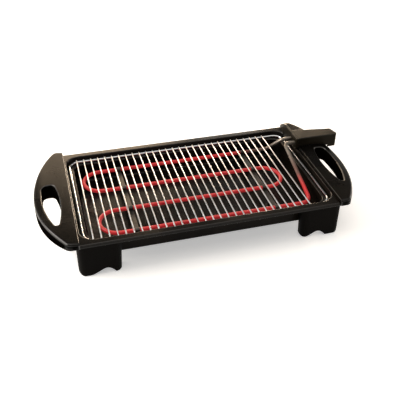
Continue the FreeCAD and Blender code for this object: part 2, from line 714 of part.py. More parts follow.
def handle_blank():
    """Solid handle: crowned, rounded along its edges, with the finger hole through it."""
    body = handle_prism().common(handle_crown(0.0))
    outer = edges_where(body, lambda e: z_min(e) > RIM_TOP and x_max(e) > HANDLE_INNER + NEAR)
    body = body.makeFillet(HANDLE_EDGE, outer)
    inner = edges_where(body, lambda e: z_min(e) > RIM_TOP and x_max(e) < HANDLE_INNER + NEAR)
    body = body.makeFillet(HANDLE_INNER_EDGE, inner)
    hole = finger_hole()
    body = body.cut(hole)
    room = hole.BoundBox
    room.enlarge(NEAR)
    top = edges_where(body, lambda e: z_min(e) > RIM_TOP and e.BoundBox.ZLength < HANDLE_CROWN)
    rim = [e for e in top if room.isInside(e.BoundBox)]
    return body.makeFillet(HOLE_EDGE, rim).cut(below_skirt())


def handle(screw_places, pocket, pocket_wall):
    """Right-hand handle: crowned shell with a sleeved finger hole, seated over the rim's end."""
    cavity = grown(handle_prism(), -HANDLE_WALL).common(handle_crown(HANDLE_WALL))
    cavity = cavity.cut(grown(finger_hole(), HANDLE_WALL))
    pilots = []
    for y in screw_places:
        foot = vec(HANDLE_SCREW_X, y, RIM_TOP)
        cavity = cavity.cut(rod(HANDLE_BOSS, foot, vec(HANDLE_SCREW_X, y, HANDLE_ABOVE)))
        pilots.append(rod(HANDLE_SCREW, foot, vec(HANDLE_SCREW_X, y, HANDLE_SCREW_TOP)))
    if pocket_wall:
        cavity = cavity.cut(pocket_wall)
    rim = block((0, -RIM_HALF_Y - FIT, 0), (RIM_HALF_X + FIT, RIM_HALF_Y + FIT, RIM_TOP))
    shell = handle_blank().cut(cavity).cut(rim).cut(pilots)
    if pocket:
        shell = shell.cut(pocket)
    return shell


def control_pocket(grow):
    """Room for the control box in the handle's top."""
    return slab(box_outline(-FIT - grow, RIM_TOP - grow), BOX_HEIGHT)


def handle_screws():
    screws = []
    for x, y in handle_screw_places():
        head = rod(HANDLE_SCREW_HEAD, vec(x, y, RIM_UNDER - HANDLE_SCREW_HEAD_DEEP), vec(x, y, RIM_UNDER))
        shank = rod(HANDLE_SCREW, vec(x, y, RIM_UNDER), vec(x, y, HANDLE_SCREW_TOP))
        screws.append(head.fuse(shank))
    return group(screws)


def leg_outline(inset, z, draft):
    """Plan of a right-hand front leg."""
    back = LEG_BACK_CORNER - inset
    front = LEG_CORNER - inset
    inner = LEG_INNER + draft + inset
    return rounded_wire(inner, LEG_OUTER - inset, -LEG_FRONT + inset, -LEG_BACK - inset,
                        [front, front, back, back], z)


def arch_cut(top_x):
    """Cutter for the wavy foot: a slow rise from the left and a quick fall to the right."""
    start = vec(top_x - ARCH_RISE, 0, 0)
    halfway = vec(top_x - ARCH_RISE / 2, 0, ARCH_HEIGHT / 2)
    end = vec(top_x + ARCH_FALL, 0, 0)
    curve = Part.BSplineCurve()
    curve.interpolate([start, halfway, vec(top_x, 0, ARCH_HEIGHT), end],
                      InitialTangent=vec(1, 0, ARCH_START_SLOPE), FinalTangent=vec(1, 0, ARCH_END_SLOPE))
    down = vec(0, 0, -OVERCUT)
    outline = Part.Wire([
        curve.toShape(),
        line(end, end + down),
        line(end + down, start + down),
        line(start + down, start),
    ])
    cutter = Part.Face(outline).extrude(vec(0, 2 * RIM_HALF_Y, 0))
    cutter.translate(vec(0, -RIM_HALF_Y, 0))
    return cutter


def leg(side):
    """Hollow front leg that hugs the pan's ledge, with a wavy foot."""
    body = ruled(leg_outline(0.0, 0.0, LEG_DRAFT), leg_outline(0.0, RIM_UNDER, 0.0))
    front_view = block((LEG_INNER, -RIM_HALF_Y, 0), (LEG_OUTER, 0, RIM_TOP))
    for round_by, x in ((FOOT_ROUND, LEG_OUTER), (FOOT_INNER_ROUND, LEG_INNER)):
        corner = edges_where(front_view, lambda e: e.BoundBox.ZMax < NEAR and abs(x_min(e) - x) < NEAR)
        front_view = front_view.makeFillet(round_by, [e for e in corner if e.BoundBox.XLength < NEAR])
    body = body.common(front_view)
    lower = ruled(leg_outline(LEG_WALL, -OVERCUT, LEG_DRAFT), leg_outline(LEG_WALL, SHOULDER_UNDER, 0.0))
    upper = slab(leg_outline(LEG_WALL, LEDGE_UNDER, 0.0), RIM_TOP - LEDGE_UNDER)
    pan = block((0, -OPENING_HALF_Y - SHEET - LEG_PAN_GAP, LEDGE_UNDER), (LEG_OUTER + OVERCUT, 0, RIM_TOP))
    holes = [rod(STUD_HOLE, vec(x, -STUD_Y, 0), vec(x, -STUD_Y, RIM_TOP)) for x in STUD_X]
    shell = body.cut(lower).cut(upper).cut(pan).cut(holes)
    if side == LEFT:
        return mirrored_x(shell).cut(arch_cut(ARCH_LEFT - LEG_OUTER))
    return shell.cut(arch_cut(LEG_INNER + ARCH_RIGHT))


def stud_places():
    return [(side * x, end * STUD_Y) for side in (LEFT, RIGHT) for end in (FRONT, BACK) for x in STUD_X]


def leg_studs():
    bottom = LEDGE_UNDER - STUD_LENGTH
    return group([rod(STUD, vec(x, y, LEDGE_UNDER), vec(x, y, bottom)) for x, y in stud_places()])


def leg_nuts():
    corner = NUT_FLATS / 2 / math.cos(math.pi / 6)
    nuts = []
    for x, y in stud_places():
        middle = vec(x, y, SHOULDER_UNDER - NUT_HEIGHT)
        turns = [math.radians(60 * i) for i in range(7)]
        corners = [middle + vec(corner * math.cos(turn), corner * math.sin(turn)) for turn in turns]
        nut = slab(Part.makePolygon(corners), NUT_HEIGHT)
        nuts.append(nut.cut(rod(STUD, vec(x, y, 0), vec(x, y, RIM_TOP))))
    return group(nuts)


def save(name, shape):
    shape = shape.copy()
    shape.translate(vec(-ORIGIN_X, 0, 0))
    shape.exportStep("parts/" + name + ".step")
    print(name, len(shape.Solids), round(shape.Volume / 1000.0, 2), shape.isValid())


def main():
    os.makedirs("parts", exist_ok=True)
    save("drip_tray", drip_tray())
    save("left_handle", mirrored_x(handle(LEFT_SCREW_Y, None, None)))
    save("right_handle", handle(RIGHT_SCREW_Y, control_pocket(0.0), control_pocket(HANDLE_WALL)))
    save("handle_screws", handle_screws())
    for side, name in ((LEFT, "left"), (RIGHT, "right")):
        front_leg = leg(side)
        save("front_" + name + "_leg", front_leg)
        save("back_" + name + "_leg", mirrored_y(front_leg))
    save("leg_studs", leg_studs())
    save("leg_nuts", leg_nuts())
    save("rack_frame", rack_frame())
    save("rack_cross_wires", cross_wires())
    save("heating_element", heating_element())
    save("terminal_pins", terminal_pins())
    save("insulating_bushes", insulating_bushes())
    save("left_element_brace", element_brace(-BRACE_X))
    save("right_element_brace", element_brace(BRACE_X))
    save("element_end_plate", end_plate())
    save("control_cover", control_cover())
    save("control_base", control_base())
    save("control_screws", control_screws())
    save("cord_inlet_bush", inlet_bush())
    save("terminal_block", terminal_block())
    save("element_leads", element_leads())
    save("thermal_cutout", thermal_cutout())


main()
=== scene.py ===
"""Visible pieces, finishes and studio of a tabletop electric grill, laid out as an add-on."""

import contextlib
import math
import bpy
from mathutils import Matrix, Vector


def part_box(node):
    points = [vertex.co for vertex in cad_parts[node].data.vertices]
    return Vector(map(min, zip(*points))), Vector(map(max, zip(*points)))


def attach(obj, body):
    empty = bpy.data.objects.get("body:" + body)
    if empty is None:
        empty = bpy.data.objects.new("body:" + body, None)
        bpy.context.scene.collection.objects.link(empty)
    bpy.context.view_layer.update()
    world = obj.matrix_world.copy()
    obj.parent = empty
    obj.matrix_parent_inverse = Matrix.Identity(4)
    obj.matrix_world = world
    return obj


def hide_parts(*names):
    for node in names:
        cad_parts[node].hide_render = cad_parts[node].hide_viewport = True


bl_info = {
    "name": "Tabletop Grill",
    "version": (1, 0, 0),
    "blender": (4, 5, 0),
    "location": "View3D > Sidebar > Grill",
    "description": "Builds the visible pieces, finishes and studio of a tabletop electric grill",
    "category": "Object",
}

from types import SimpleNamespace

import bmesh
import bpy
from mathutils import Matrix, Vector

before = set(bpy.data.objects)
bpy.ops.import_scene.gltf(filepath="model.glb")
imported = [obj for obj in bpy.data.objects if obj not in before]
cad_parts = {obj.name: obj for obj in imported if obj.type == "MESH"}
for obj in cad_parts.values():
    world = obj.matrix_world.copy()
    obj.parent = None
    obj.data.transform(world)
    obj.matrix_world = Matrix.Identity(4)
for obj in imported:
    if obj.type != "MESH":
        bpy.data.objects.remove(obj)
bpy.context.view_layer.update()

TRAY_LOW, TRAY_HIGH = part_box("drip_tray")
MIDDLE_X = (TRAY_LOW.x + TRAY_HIGH.x) / 2
RIM_HALF_X = (TRAY_HIGH.x - TRAY_LOW.x) / 2
RIM_HALF_Y = (TRAY_HIGH.y - TRAY_LOW.y) / 2
RIM_TOP = TRAY_HIGH.z

QUARTER = math.pi / 2
BEND_STEPS = 6
# A quarter bend, step by step: 1 - sine and 1 - cosine of the turn
BEND = [(1 - math.sin(turn), 1 - math.cos(turn))
        for turn in (i / BEND_STEPS * QUARTER for i in range(BEND_STEPS + 1))]
CORNER_STEPS = 10
HAIR = 0.0005                 # smallest rounding of a moulded or pressed edge
MERGE = 1e-6                  # points closer than this are one
CRISP_ANGLE = 32.0            # faces that meet at more than this, in degrees, keep a crisp edge
SOFT_EDGE = 80.0              # mean curvature, per metre, where an edge starts to show a polish
TIGHT_EDGE = 320.0            # and where it shows all of it


# Kinds of property: what makes one, and what it takes besides its name

def length(default, about):
    return bpy.props.FloatProperty, dict(default=default, description=about, unit="LENGTH",
                                         subtype="DISTANCE", precision=5)


def lengths(default, about):
    return bpy.props.FloatVectorProperty, dict(default=default, description=about, unit="LENGTH",
                                               size=len(default), precision=5)


def amount(default, about):
    return bpy.props.IntProperty, dict(default=default, description=about, min=1)


def power(default, about):
    return bpy.props.FloatProperty, dict(default=default, description=about, min=0.0)


def tint(default, about):
    return bpy.props.FloatVectorProperty, dict(default=(*default, 1.0), description=about, size=4,
                                               min=0.0, max=1.0, subtype="COLOR")


def named(group):
    """Makes a group's properties, each with a name taken from its key."""
    for key, (make, settings) in group.__annotations__.items():
        group.__annotations__[key] = make(name=key.replace("_", " ").capitalize(), **settings)
    return group


@named
class GrillTray(bpy.types.PropertyGroup):
    sheet: length(0.0012, "Thickness of the pressed steel")
    rim_end: length(0.015, "Width of the rim at the two ends")
    rim_side: length(0.012, "Width of the rim along front and back")
    rim_corner: length(0.008, "Plan radius of the rim")
    lip_depth: length(0.006, "How far the rim turns down")
    lip_bend: length(0.002, "Outside radius of the turned-down lip")
    opening_corner: length(0.024, "Plan radius of the opening")
    upper_draft: length(0.002, "Lean of the wall above the ledge")
    ledge_drop: length(0.0103, "Rim top to the ledge that carries the rack")
    ledge_width: length(0.010, "Width of that ledge")
    lower_draft: length(0.002, "Lean of the wall below the ledge")
    depth: length(0.0435, "Rim top to the floor")
    floor_bend: length(0.004, "Inside radius between wall and floor")
    pressed_edge: length(0.0014, "Rounding of the pressed edges")


@named
class GrillHandle(bpy.types.PropertyGroup):
    inset: length(0.0125, "Inner edge, in from the rim's end")
    reach: length(0.0585, "Inner edge to the outermost point")
    end: length(0.016, "Length of the flat front and back ends")
    wrap: length(0.0025, "How far the ends reach past the rim")
    rise: length(0.005, "Inner edge above the rim")
    crown: length(0.007, "Highest line above the rim")
    crown_x: length(0.024, "Highest line from the inner edge")
    outer_rise: length(0.0005, "Outer edge above the rim")
    skirt: length(0.0215, "Skirt below the rim at the middle")
    end_skirt: length(0.0045, "Skirt below the rim at the ends")
    wall: length(0.003, "Thickness of the moulding")
    end_wall: length(0.0022, "Thickness over the rim's front and back")
    corner: length(0.011, "Plan radius of the ends")
    edge: length(0.004, "Rounding along the outer edge")
    inner_edge: length(0.001, "Rounding along the inner edge")
    grip: length(0.013, "Bar between finger hole and outer edge")
    hole_front: length(0.0535, "Finger hole from the front end")
    hole_back: length(0.1025, "Finger hole from the back end")
    hole_width: length(0.0266, "Width at the middle of the hole")
    hole_front_width: length(0.006, "Width at the front tip")
    hole_back_width: length(0.019, "Width at the back")
    hole_front_round: length(0.0026, "Corner radius at the front tip")
    hole_back_round: length(0.009, "Corner radius at the back")
    hole_edge: length(0.0018, "Rounding of the hole's rim")


@named
class GrillLeg(bpy.types.PropertyGroup):
    length: length(0.069, "Along the tray")
    end_inset: length(0.007, "Outer edge in from the rim's end")
    draft: length(0.003, "Lean of the inner edge at the foot")
    front: length(0.1294, "Front face from the middle")
    back: length(0.1088, "Back face from the middle")
    step: length(0.1208, "Where the leg steps up in front of the pan")
    corner: length(0.011, "Plan radius in front")
    back_corner: length(0.004, "Plan radius behind")
    wall: length(0.003, "Thickness of the moulding")
    shoulder: length(0.0035, "Thickness of the plate under the ledge")
    arch_left: length(0.042, "Arch top from a left leg's outer edge")
    arch_right: length(0.030, "Arch top from a right leg's inner edge")
    arch_rise: length(0.024, "Length of the slow rise")
    arch_fall: length(0.014, "Length of the quick fall")
    arch_height: length(0.010, "Height of the wavy foot")
    foot_round: length(0.008, "Outer lower corner")
    foot_inner_round: length(0.006, "Inner lower corner")


@named
class GrillRack(bpy.types.PropertyGroup):
    half_x: length(0.2015, "Half the frame's length, to the wire's middle")
    half_y: length(0.1135, "Half the frame's width, to the wire's middle")
    corner: length(0.018, "Bend radius of the frame")
    frame_wire: length(0.004, "Diameter of the frame wire")
    frame_level: length(0.054, "Height of the frame wire's middle")
    cross_wire: length(0.0022, "Diameter of a cross wire")
    cross_level: length(0.057, "Height of the cross wires' middle")
    cross_half: length(0.1155, "Half the length of a cross wire")
    count: amount(29, "How many cross wires")
    first: length(-0.1875, "First cross wire from the tray's middle")
    pitch: length(0.01255, "Between cross wires")


@named
class GrillElement(bpy.types.PropertyGroup):
    tube: length(0.0065, "Diameter of the heating tube")
    cold: length(0.035, "Length of tube that stays grey at each end")
    warm: length(0.130, "Length over which it turns red")


@named
class GrillControl(bpy.types.PropertyGroup):
    plate_in: length(0.203, "End plate's inner face from the tray's middle")
    plate_out: length(0.208, "End plate's outer face")
    plate_front: length(0.042, "Front edge of the end plate")
    plate_back: length(0.108, "Back edge of the end plate")
    plate_round: length(0.011, "Top back corner of the end plate")
    plate_edge: length(0.001, "Rounding of the end plate's edges")
    front: length(0.0435, "Front face of the box")
    width: length(0.033, "Box width at the end plate")
    taper: length(0.011, "How much narrower the far end is")
    end: length(0.286, "Far front corner from the tray's middle")
    skew: length(0.006, "Slant of the far end")
    nose: length(0.2683, "Where the deeper far end starts")
    low: length(0.0623, "Height of the box's bottom")
    nose_low: length(0.058, "Height of the far end's bottom")
    high: length(0.084, "Height of the box's top")
    wall: length(0.002, "Thickness of the cover")
    edge: length(0.0015, "Rounding of the cover's edges")
    far_round: length(0.004, "Plan radius of the far corners")
    inlet_level: length(0.071, "Height of the cord inlet")
    inlet_bush: length(0.011, "Diameter of the bush in the wall")
    inlet_flange: length(0.0136, "Diameter of its flanges")
    inlet_bore: length(0.0074, "Diameter of its bore")
    inlet_sheet: length(0.0012, "Thickness of a flange")
    fit: length(0.0003, "Gap round the box in the handle")


@named
class GrillFixings(bpy.types.PropertyGroup):
    screw: length(0.0035, "Shank diameter of a handle screw")
    screw_head: length(0.0064, "Head diameter")
    screw_head_deep: length(0.0021, "Head height")
    screw_tip: length(0.0655, "Height that the screws reach")
    screw_x: length(0.2155, "Screws from the tray's middle, along")
    left_screws: lengths((-0.0955, 0.0, 0.0955), "Screws of the left handle, across")
    right_screws: lengths((-0.0955, -0.03525, 0.025), "Screws of the right handle, across")
    stud: length(0.004, "Diameter of a leg stud")
    stud_length: length(0.011, "Stud below the ledge")
    nut_flats: length(0.007, "Nut's width across flats")
    nut_height: length(0.0032, "Height of a nut")
    stud_y: length(0.1162, "Studs from the tray's middle, across")
    stud_inner: length(0.160, "Inner studs from the tray's middle, along")
    stud_outer: length(0.197, "Outer studs from the tray's middle, along")


@named
class GrillFinish(bpy.types.PropertyGroup):
    enamel: tint((0.0032, 0.0026, 0.0021), "Tray enamel")
    enamel_sheen: tint((0.0070, 0.0054, 0.0040), "Where the enamel is browner")
    handle: tint((0.0008, 0.00065, 0.0005), "Satin handles")
    handle_light: tint((0.0018, 0.0014, 0.0011), "Lighter flow of their moulding")
    leg: tint((0.0017, 0.0013, 0.0010), "Matt legs")
    control: tint((0.0090, 0.0074, 0.0050), "Control box")
    chrome: tint((0.70, 0.73, 0.77), "Rack wire")
    cold_sheath: tint((0.26, 0.23, 0.20), "Heating tube at its ends")
    scorched: tint((0.16, 0.085, 0.07), "Heating tube where it turns hot")
    hot_sheath: tint((0.52, 0.022, 0.026), "Heating tube where it glows")
    strip: tint((0.10, 0.095, 0.088), "Braces under the element")
    zinc: tint((0.56, 0.57, 0.58), "Screws, studs and nuts")
    ceramic: tint((0.74, 0.70, 0.62), "Insulators")
    sleeve: tint((0.62, 0.57, 0.46), "Woven sleeves on the leads")
    rubber: tint((0.014, 0.014, 0.014), "Cord inlet")
    dust: tint((0.42, 0.38, 0.33), "Dust on the black faces")
    fleck: tint((0.10, 0.08, 0.06), "Dark flecks in the ceramic")


@named
class GrillStudio(bpy.types.PropertyGroup):
    floor: tint((0.94, 0.94, 0.94), "Pale floor")
    floor_glow: power(0.45, "Light of the floor itself")
    overhead: power(1.4, "Brightness of the wide light overhead")
    walls: power(0.16, "Brightness of the studio walls at half height")
    horizon: power(1.0, "Brightness low down, all round")
    back_softbox: power(6.0, "Power of the warm softbox behind")
    low_card: power(9.0, "Power of the small low card behind on the right")
    wire_card: power(0.7, "Power of the small card that the left wire shows")
    left_softbox: power(24.0, "Power of the large softbox on the left")
    right_softbox: power(4.0, "Power of the softbox on the right")
    warm: tint((1.0, 0.76, 0.52), "Colour of the softbox and the low card behind")
    mild: tint((1.0, 0.94, 0.86), "Colour of the other lights and the surround")


GROUPS = {
    "grill_tray": GrillTray,
    "grill_handle": GrillHandle,
    "grill_leg": GrillLeg,
    "grill_rack": GrillRack,
    "grill_element": GrillElement,
    "grill_control": GrillControl,
    "grill_fixings": GrillFixings,
    "grill_finish": GrillFinish,
    "grill_studio": GrillStudio,
}


# Shapes

def spread(a, b, count):
    """Points from a to b, both ends among them."""
    return [tuple(p + (q - p) * i / (count - 1) for p, q in zip(a, b)) for i in range(count)]


def sweep(centre, radius, start, end, count):
    """Points on an arc in plan, both ends among them."""
    turns = [start + (end - start) * i / (count - 1) for i in range(count)]
    return [(centre[0] + radius * math.cos(t), centre[1] + radius * math.sin(t)) for t in turns]


def arcs(*parts):
    """Loop of points along one arc after another."""
    return [point for part in parts for point in sweep(*part)]


def circle_through(p, q, r):
    """Centre and radius of the circle through three points."""
    ax, ay = q[0] - p[0], q[1] - p[1]
    bx, by = r[0] - p[0], r[1] - p[1]
    cross = 2 * (ax * by - ay * bx)
    a2 = ax * ax + ay * ay
    b2 = bx * bx + by * by
    x = (by * a2 - ay * b2) / cross
    y = (ax * b2 - bx * a2) / cross
    return (p[0] + x, p[1] + y), math.hypot(x, y)


def round_loop(half_x, half_y, corner, z):
    """Rounded rectangle round the tray's middle."""
    loop = []
    for i, (sx, sy) in enumerate(((1, 1), (-1, 1), (-1, -1), (1, -1))):
        middle = (MIDDLE_X + sx * (half_x - corner), sy * (half_y - corner))
        loop += sweep(middle, corner, i * QUARTER, (i + 1) * QUARTER, CORNER_STEPS)
    return [Vector((x, y, z)) for x, y in loop]


def loft(rings, wrap=False):
    """Skin through closed rings of as many points each: joined end to end, or capped."""
    count = len(rings[0])
    points = [point for ring in rings for point in ring]
    pairs = [(i, i + 1) for i in range(len(rings) - 1)]
    if wrap:
        pairs.append((len(rings) - 1, 0))
    faces = []
    for a, b in pairs:
        for i in range(count):
            j = (i + 1) % count
            faces.append((a * count + i, a * count + j, b * count + j, b * count + i))
    if not wrap:
        faces.append(tuple(range(count)))
        faces.append(tuple(range(len(points) - count, len(points))))
    return points, faces


def placed(points, side):
    """Points drawn for the right, moved to the tray's middle or mirrored to the left."""
    return [Vector((MIDDLE_X + side * p.x, p.y, p.z)) for p in points]


def link(name, data):
    piece = bpy.data.objects.new(name, data)
    bpy.context.scene.collection.objects.link(piece)
    return piece


def plain_mesh(piece):
    """Mesh of a piece with its modifiers applied."""
    graph = bpy.context.evaluated_depsgraph_get()
    return bpy.data.meshes.new_from_object(piece.evaluated_get(graph), depsgraph=graph)


def bake(piece):
    """Turns a piece and its modifiers into a plain mesh."""
    old, mesh = piece.data, plain_mesh(piece)
    piece.modifiers.clear()
    piece.data = mesh
    bpy.data.meshes.remove(old)
    mesh.name = piece.name
    return piece


@contextlib.contextmanager
def opened(mesh):
    """A mesh's skin, open to be edited and put back into the mesh."""
    skin = bmesh.new()
    skin.from_mesh(mesh)
    yield skin
    skin.to_mesh(mesh)
    skin.free()


def add_shell(mesh, points, faces):
    """Adds a closed shell to a mesh, with its faces turned outwards."""
    shell = bpy.data.meshes.new("shell")
    shell.from_pydata([tuple(p) for p in points], [], faces)
    with opened(shell) as skin:
        bmesh.ops.remove_doubles(skin, verts=skin.verts, dist=MERGE)
        bmesh.ops.dissolve_degenerate(skin, edges=skin.edges, dist=MERGE)
        bmesh.ops.recalc_face_normals(skin, faces=skin.faces)
    with opened(mesh) as whole:
        whole.from_mesh(shell)
    bpy.data.meshes.remove(shell)


def solid(name, points, faces):
    """Piece of one closed shell."""
    mesh = bpy.data.meshes.new(name)
    add_shell(mesh, points, faces)
    return link(name, mesh)


def cut_away(piece, points, faces):
    """Cuts a closed shape out of a piece, and clears the flat fins that a cut can leave."""
    tool = solid("cutter", points, faces)
    cut = piece.modifiers.new("Cut", "BOOLEAN")
    cut.operation = "DIFFERENCE"
    cut.solver = "MANIFOLD"
    cut.object = tool
    bake(piece)
    mesh = tool.data
    bpy.data.objects.remove(tool)
    bpy.data.meshes.remove(mesh)
    with opened(piece.data) as skin:
        bmesh.ops.remove_doubles(skin, verts=skin.verts, dist=MERGE)
        bmesh.ops.triangulate(skin, faces=skin.faces, ngon_method="EAR_CLIP")
        corners = {}
        for face in skin.faces:
            corners.setdefault(frozenset(face.verts), []).append(face)
        fins = [face for pair in corners.values() if len(pair) > 1 for face in pair]
        bmesh.ops.delete(skin, geom=fins, context="FACES")


def smooth(piece, angle=CRISP_ANGLE):
    """Smooth faces with crisp edges, flat faces kept flat up to their rounded edges."""
    piece.data.shade_smooth()
    piece.data.set_sharp_from_angle(angle=math.radians(angle))
    weighted = piece.modifiers.new("Weighted normals", "WEIGHTED_NORMAL")
    weighted.keep_sharp = True
    weighted.mode = "FACE_AREA"
    return bake(piece)


def mark_edges(piece):
    """Keeps how tightly each point is rounded outwards, so that a finish can polish the edges."""
    skin = bmesh.new()
    skin.from_mesh(piece.data)
    shine = []
    for point in skin.verts:
        around = sum(face.calc_area() / len(face.verts) for face in point.link_faces)
        bend = sum(edge.calc_length() * edge.calc_face_angle_signed(0.0)
                   for edge in point.link_edges)
        tightness = bend / (4 * around)
        shine.append(min(1.0, max(0.0, (tightness - SOFT_EDGE) / (TIGHT_EDGE - SOFT_EDGE))))
    skin.free()
    piece.data.attributes.new("edge_shine", "FLOAT", "POINT").data.foreach_set("value", shine)
    return piece


def dress(mesh, look):
    mesh.materials.clear()
    mesh.materials.append(finish(look))


def settle(piece, look, body, slot, *nodes):
    """Gives a piece its finish and puts it in the place of CAD nodes."""
    dress(piece.data, look)
    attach(piece, body)
    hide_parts(*nodes)


# Node trees

def fill(tree, socket, value):
    """Sets a socket, or links it to the socket or sockets that feed it."""
    if isinstance(value, bpy.types.NodeSocket):
        value = [value]
    if isinstance(value, list):
        for source in value:
            tree.links.new(source, socket)
    else:
        socket.default_value = value


def add(tree, kind, sockets=None, out=0, **settings):
    """A node with its settings and sockets filled in. Gives one of its outputs, if it has any."""
    node = tree.nodes.new(kind)
    for key, value in settings.items():
        setattr(node, key, value)
    for key, value in (sockets or {}).items():
        fill(tree, node.inputs[key], value)
    return node.outputs[out] if len(node.outputs) else None


def calc(tree, operation, *values):
    return add(tree, "ShaderNodeMath", dict(enumerate(values)), operation=operation)


def ramp(tree, value, start, end, low=0.0, high=1.0, kind="LINEAR"):
    """A value carried from one range to another."""
    return add(tree, "ShaderNodeMapRange", {"Value": value, "From Min": start, "From Max": end,
                                            "To Min": low, "To Max": high}, interpolation_type=kind)


def eased(*values):
    return ramp(*values, kind="SMOOTHSTEP")


def noise(tree, where, scale, detail, rough=0.5, twist=0.0):
    return add(tree, "ShaderNodeTexNoise", {"Vector": where, "Scale": scale, "Detail": detail,
                                            "Roughness": rough, "Distortion": twist})


def along_axis(tree, axis, value):
    return add(tree, "ShaderNodeCombineXYZ", {axis: value})


def moved(tree, geometry, by, turn=(0.0, 0.0, 0.0)):
    return add(tree, "GeometryNodeTransform",
               {"Geometry": geometry, "Translation": by, "Rotation": turn})


def stood(tree, points, instance):
    """The same shape on each point."""
    return add(tree, "GeometryNodeInstanceOnPoints", {"Points": points, "Instance": instance})


def upward(tree, vector):
    """A vector's upright part."""
    return add(tree, "ShaderNodeSeparateXYZ", {"Vector": vector}, out="Z")


def tubed(tree, curve, diameter, sides, caps=False):
    """Round wire or tube along a curve."""
    section = add(tree, "GeometryNodeCurvePrimitiveCircle",
                  {"Resolution": sides, "Radius": calc(tree, "MULTIPLY", diameter, 0.5)})
    return add(tree, "GeometryNodeCurveToMesh",
               {"Curve": curve, "Profile Curve": section, "Fill Caps": caps})


SOCKET_KINDS = {int: "NodeSocketInt", float: "NodeSocketFloat", tuple: "NodeSocketVector"}
TREE_CRISP_ANGLE = 40.0


def run_tree(piece, build, values):
    """Runs a Geometry Nodes tree with named inputs on a piece, and keeps the plain mesh."""
    tree = bpy.data.node_groups.new(build.__name__, "GeometryNodeTree")
    face = tree.interface
    face.new_socket(name="Geometry", in_out="INPUT", socket_type="NodeSocketGeometry")
    sockets = {}
    for label, value in values.items():
        kind = SOCKET_KINDS[type(value)]
        sockets[label] = face.new_socket(name=label, in_out="INPUT", socket_type=kind).identifier
    face.new_socket(name="Geometry", in_out="OUTPUT", socket_type="NodeSocketGeometry")
    made = build(tree, tree.nodes.new("NodeGroupInput").outputs)
    real = add(tree, "GeometryNodeRealizeInstances", {"Geometry": made})
    even = add(tree, "GeometryNodeSetShadeSmooth", {"Geometry": real})
    add(tree, "NodeGroupOutput", {"Geometry": even})
    nodes = piece.modifiers.new(tree.name, "NODES")
    nodes.node_group = tree
    for label, value in values.items():
        nodes[sockets[label]] = value
    piece.update_tag()
    name, mesh = piece.name, plain_mesh(piece)
    bpy.data.objects.remove(piece)
    mesh.name = name
    mesh.set_sharp_from_angle(angle=math.radians(TREE_CRISP_ANGLE))
    return link(name, mesh)


def bare_points(name, points=()):
    """Object that holds only points, for a tree to stand things on."""
    mesh = bpy.data.meshes.new(name)
    mesh.from_pydata([tuple(p) for p in points], [], [])
    return link(name, mesh)


# Finishes, with the bands over which a mask goes from none to all

SHEEN_BAND = (0.3, 0.7)
SPECK_BAND = (0.10, 0.26)     # from the middle of a speck of dust
PATCH_BAND = (0.48, 0.72)
STREAK_BAND = (0.3, 0.7)
STAIN_BAND = (0.45, 0.75)
STAIN_SCALE = 60.0
TOP_BAND = (0.2, 0.7)         # upright part of a face's normal, from a wall to a top
SCORCH_BAND = (0.0, 0.4)      # share of the tube's heat
GLOW_BAND = (0.55, 0.9)
HOT_STAIN = 0.72              # how dark a stain on the glowing tube is
COLD_METALLIC = 0.9
FINE = 0.0001                 # depth of a fine bump
COARSE = 0.0002
THREAD_TURN = 0.785           # slant of a woven sleeve's threads


def shader_group(name, **inputs):
    """Empty shader group; inputs map a name to its value, or to None for a vector."""
    tree = bpy.data.node_groups.new(name, "ShaderNodeTree")
    for label, value in inputs.items():
        kind = "NodeSocketVector" if value is None else "NodeSocketFloat"
        socket = tree.interface.new_socket(name=label, in_out="INPUT", socket_type=kind)
        if value is not None:
            socket.default_value = value
    return tree, tree.nodes.new("NodeGroupInput").outputs


def group_outputs(tree, **outputs):
    for label in outputs:
        tree.interface.new_socket(name=label, in_out="OUTPUT", socket_type="NodeSocketFloat")
    add(tree, "NodeGroupOutput", outputs)
    return tree


def grouped(tree, build, **sockets):
    """Outputs of a shader group, which is built the first time."""
    group = bpy.data.node_groups.get(build.__name__) or build(build.__name__)
    return add(tree, "ShaderNodeGroup", sockets, node_tree=group).node.outputs


def moulded_grain(name):
    """Fine pebbled grain and a slow change of sheen, for moulded and enamelled faces."""
    tree, start = shader_group(name, Vector=None, Grain=1400.0, Flow=14.0, Dull=0.5, Bright=0.3)
    grain = noise(tree, start["Vector"], start["Grain"], detail=3.0, rough=0.6)
    cloud = noise(tree, start["Vector"], start["Flow"], detail=4.0, rough=0.55, twist=0.4)
    flow = eased(tree, cloud, *SHEEN_BAND)
    rough = ramp(tree, flow, 0.0, 1.0, start["Bright"], start["Dull"])
    return group_outputs(tree, Height=grain, Roughness=rough, Flow=flow)


def light_dust(name):
    """Faint dust and finger marks as a mask."""
    tree, start = shader_group(name, Vector=None, Specks=900.0, Patches=22.0, Amount=0.1)
    specks = add(tree, "ShaderNodeTexVoronoi",
                 {"Vector": start["Vector"], "Scale": start["Specks"]}, out="Distance")
    dots = ramp(tree, specks, *SPECK_BAND, 1.0, 0.0)
    cloud = noise(tree, start["Vector"], start["Patches"], detail=5.0)
    patches = eased(tree, cloud, *PATCH_BAND)
    mask = calc(tree, "MULTIPLY", calc(tree, "MULTIPLY", dots, patches), start["Amount"])
    return group_outputs(tree, Mask=mask)


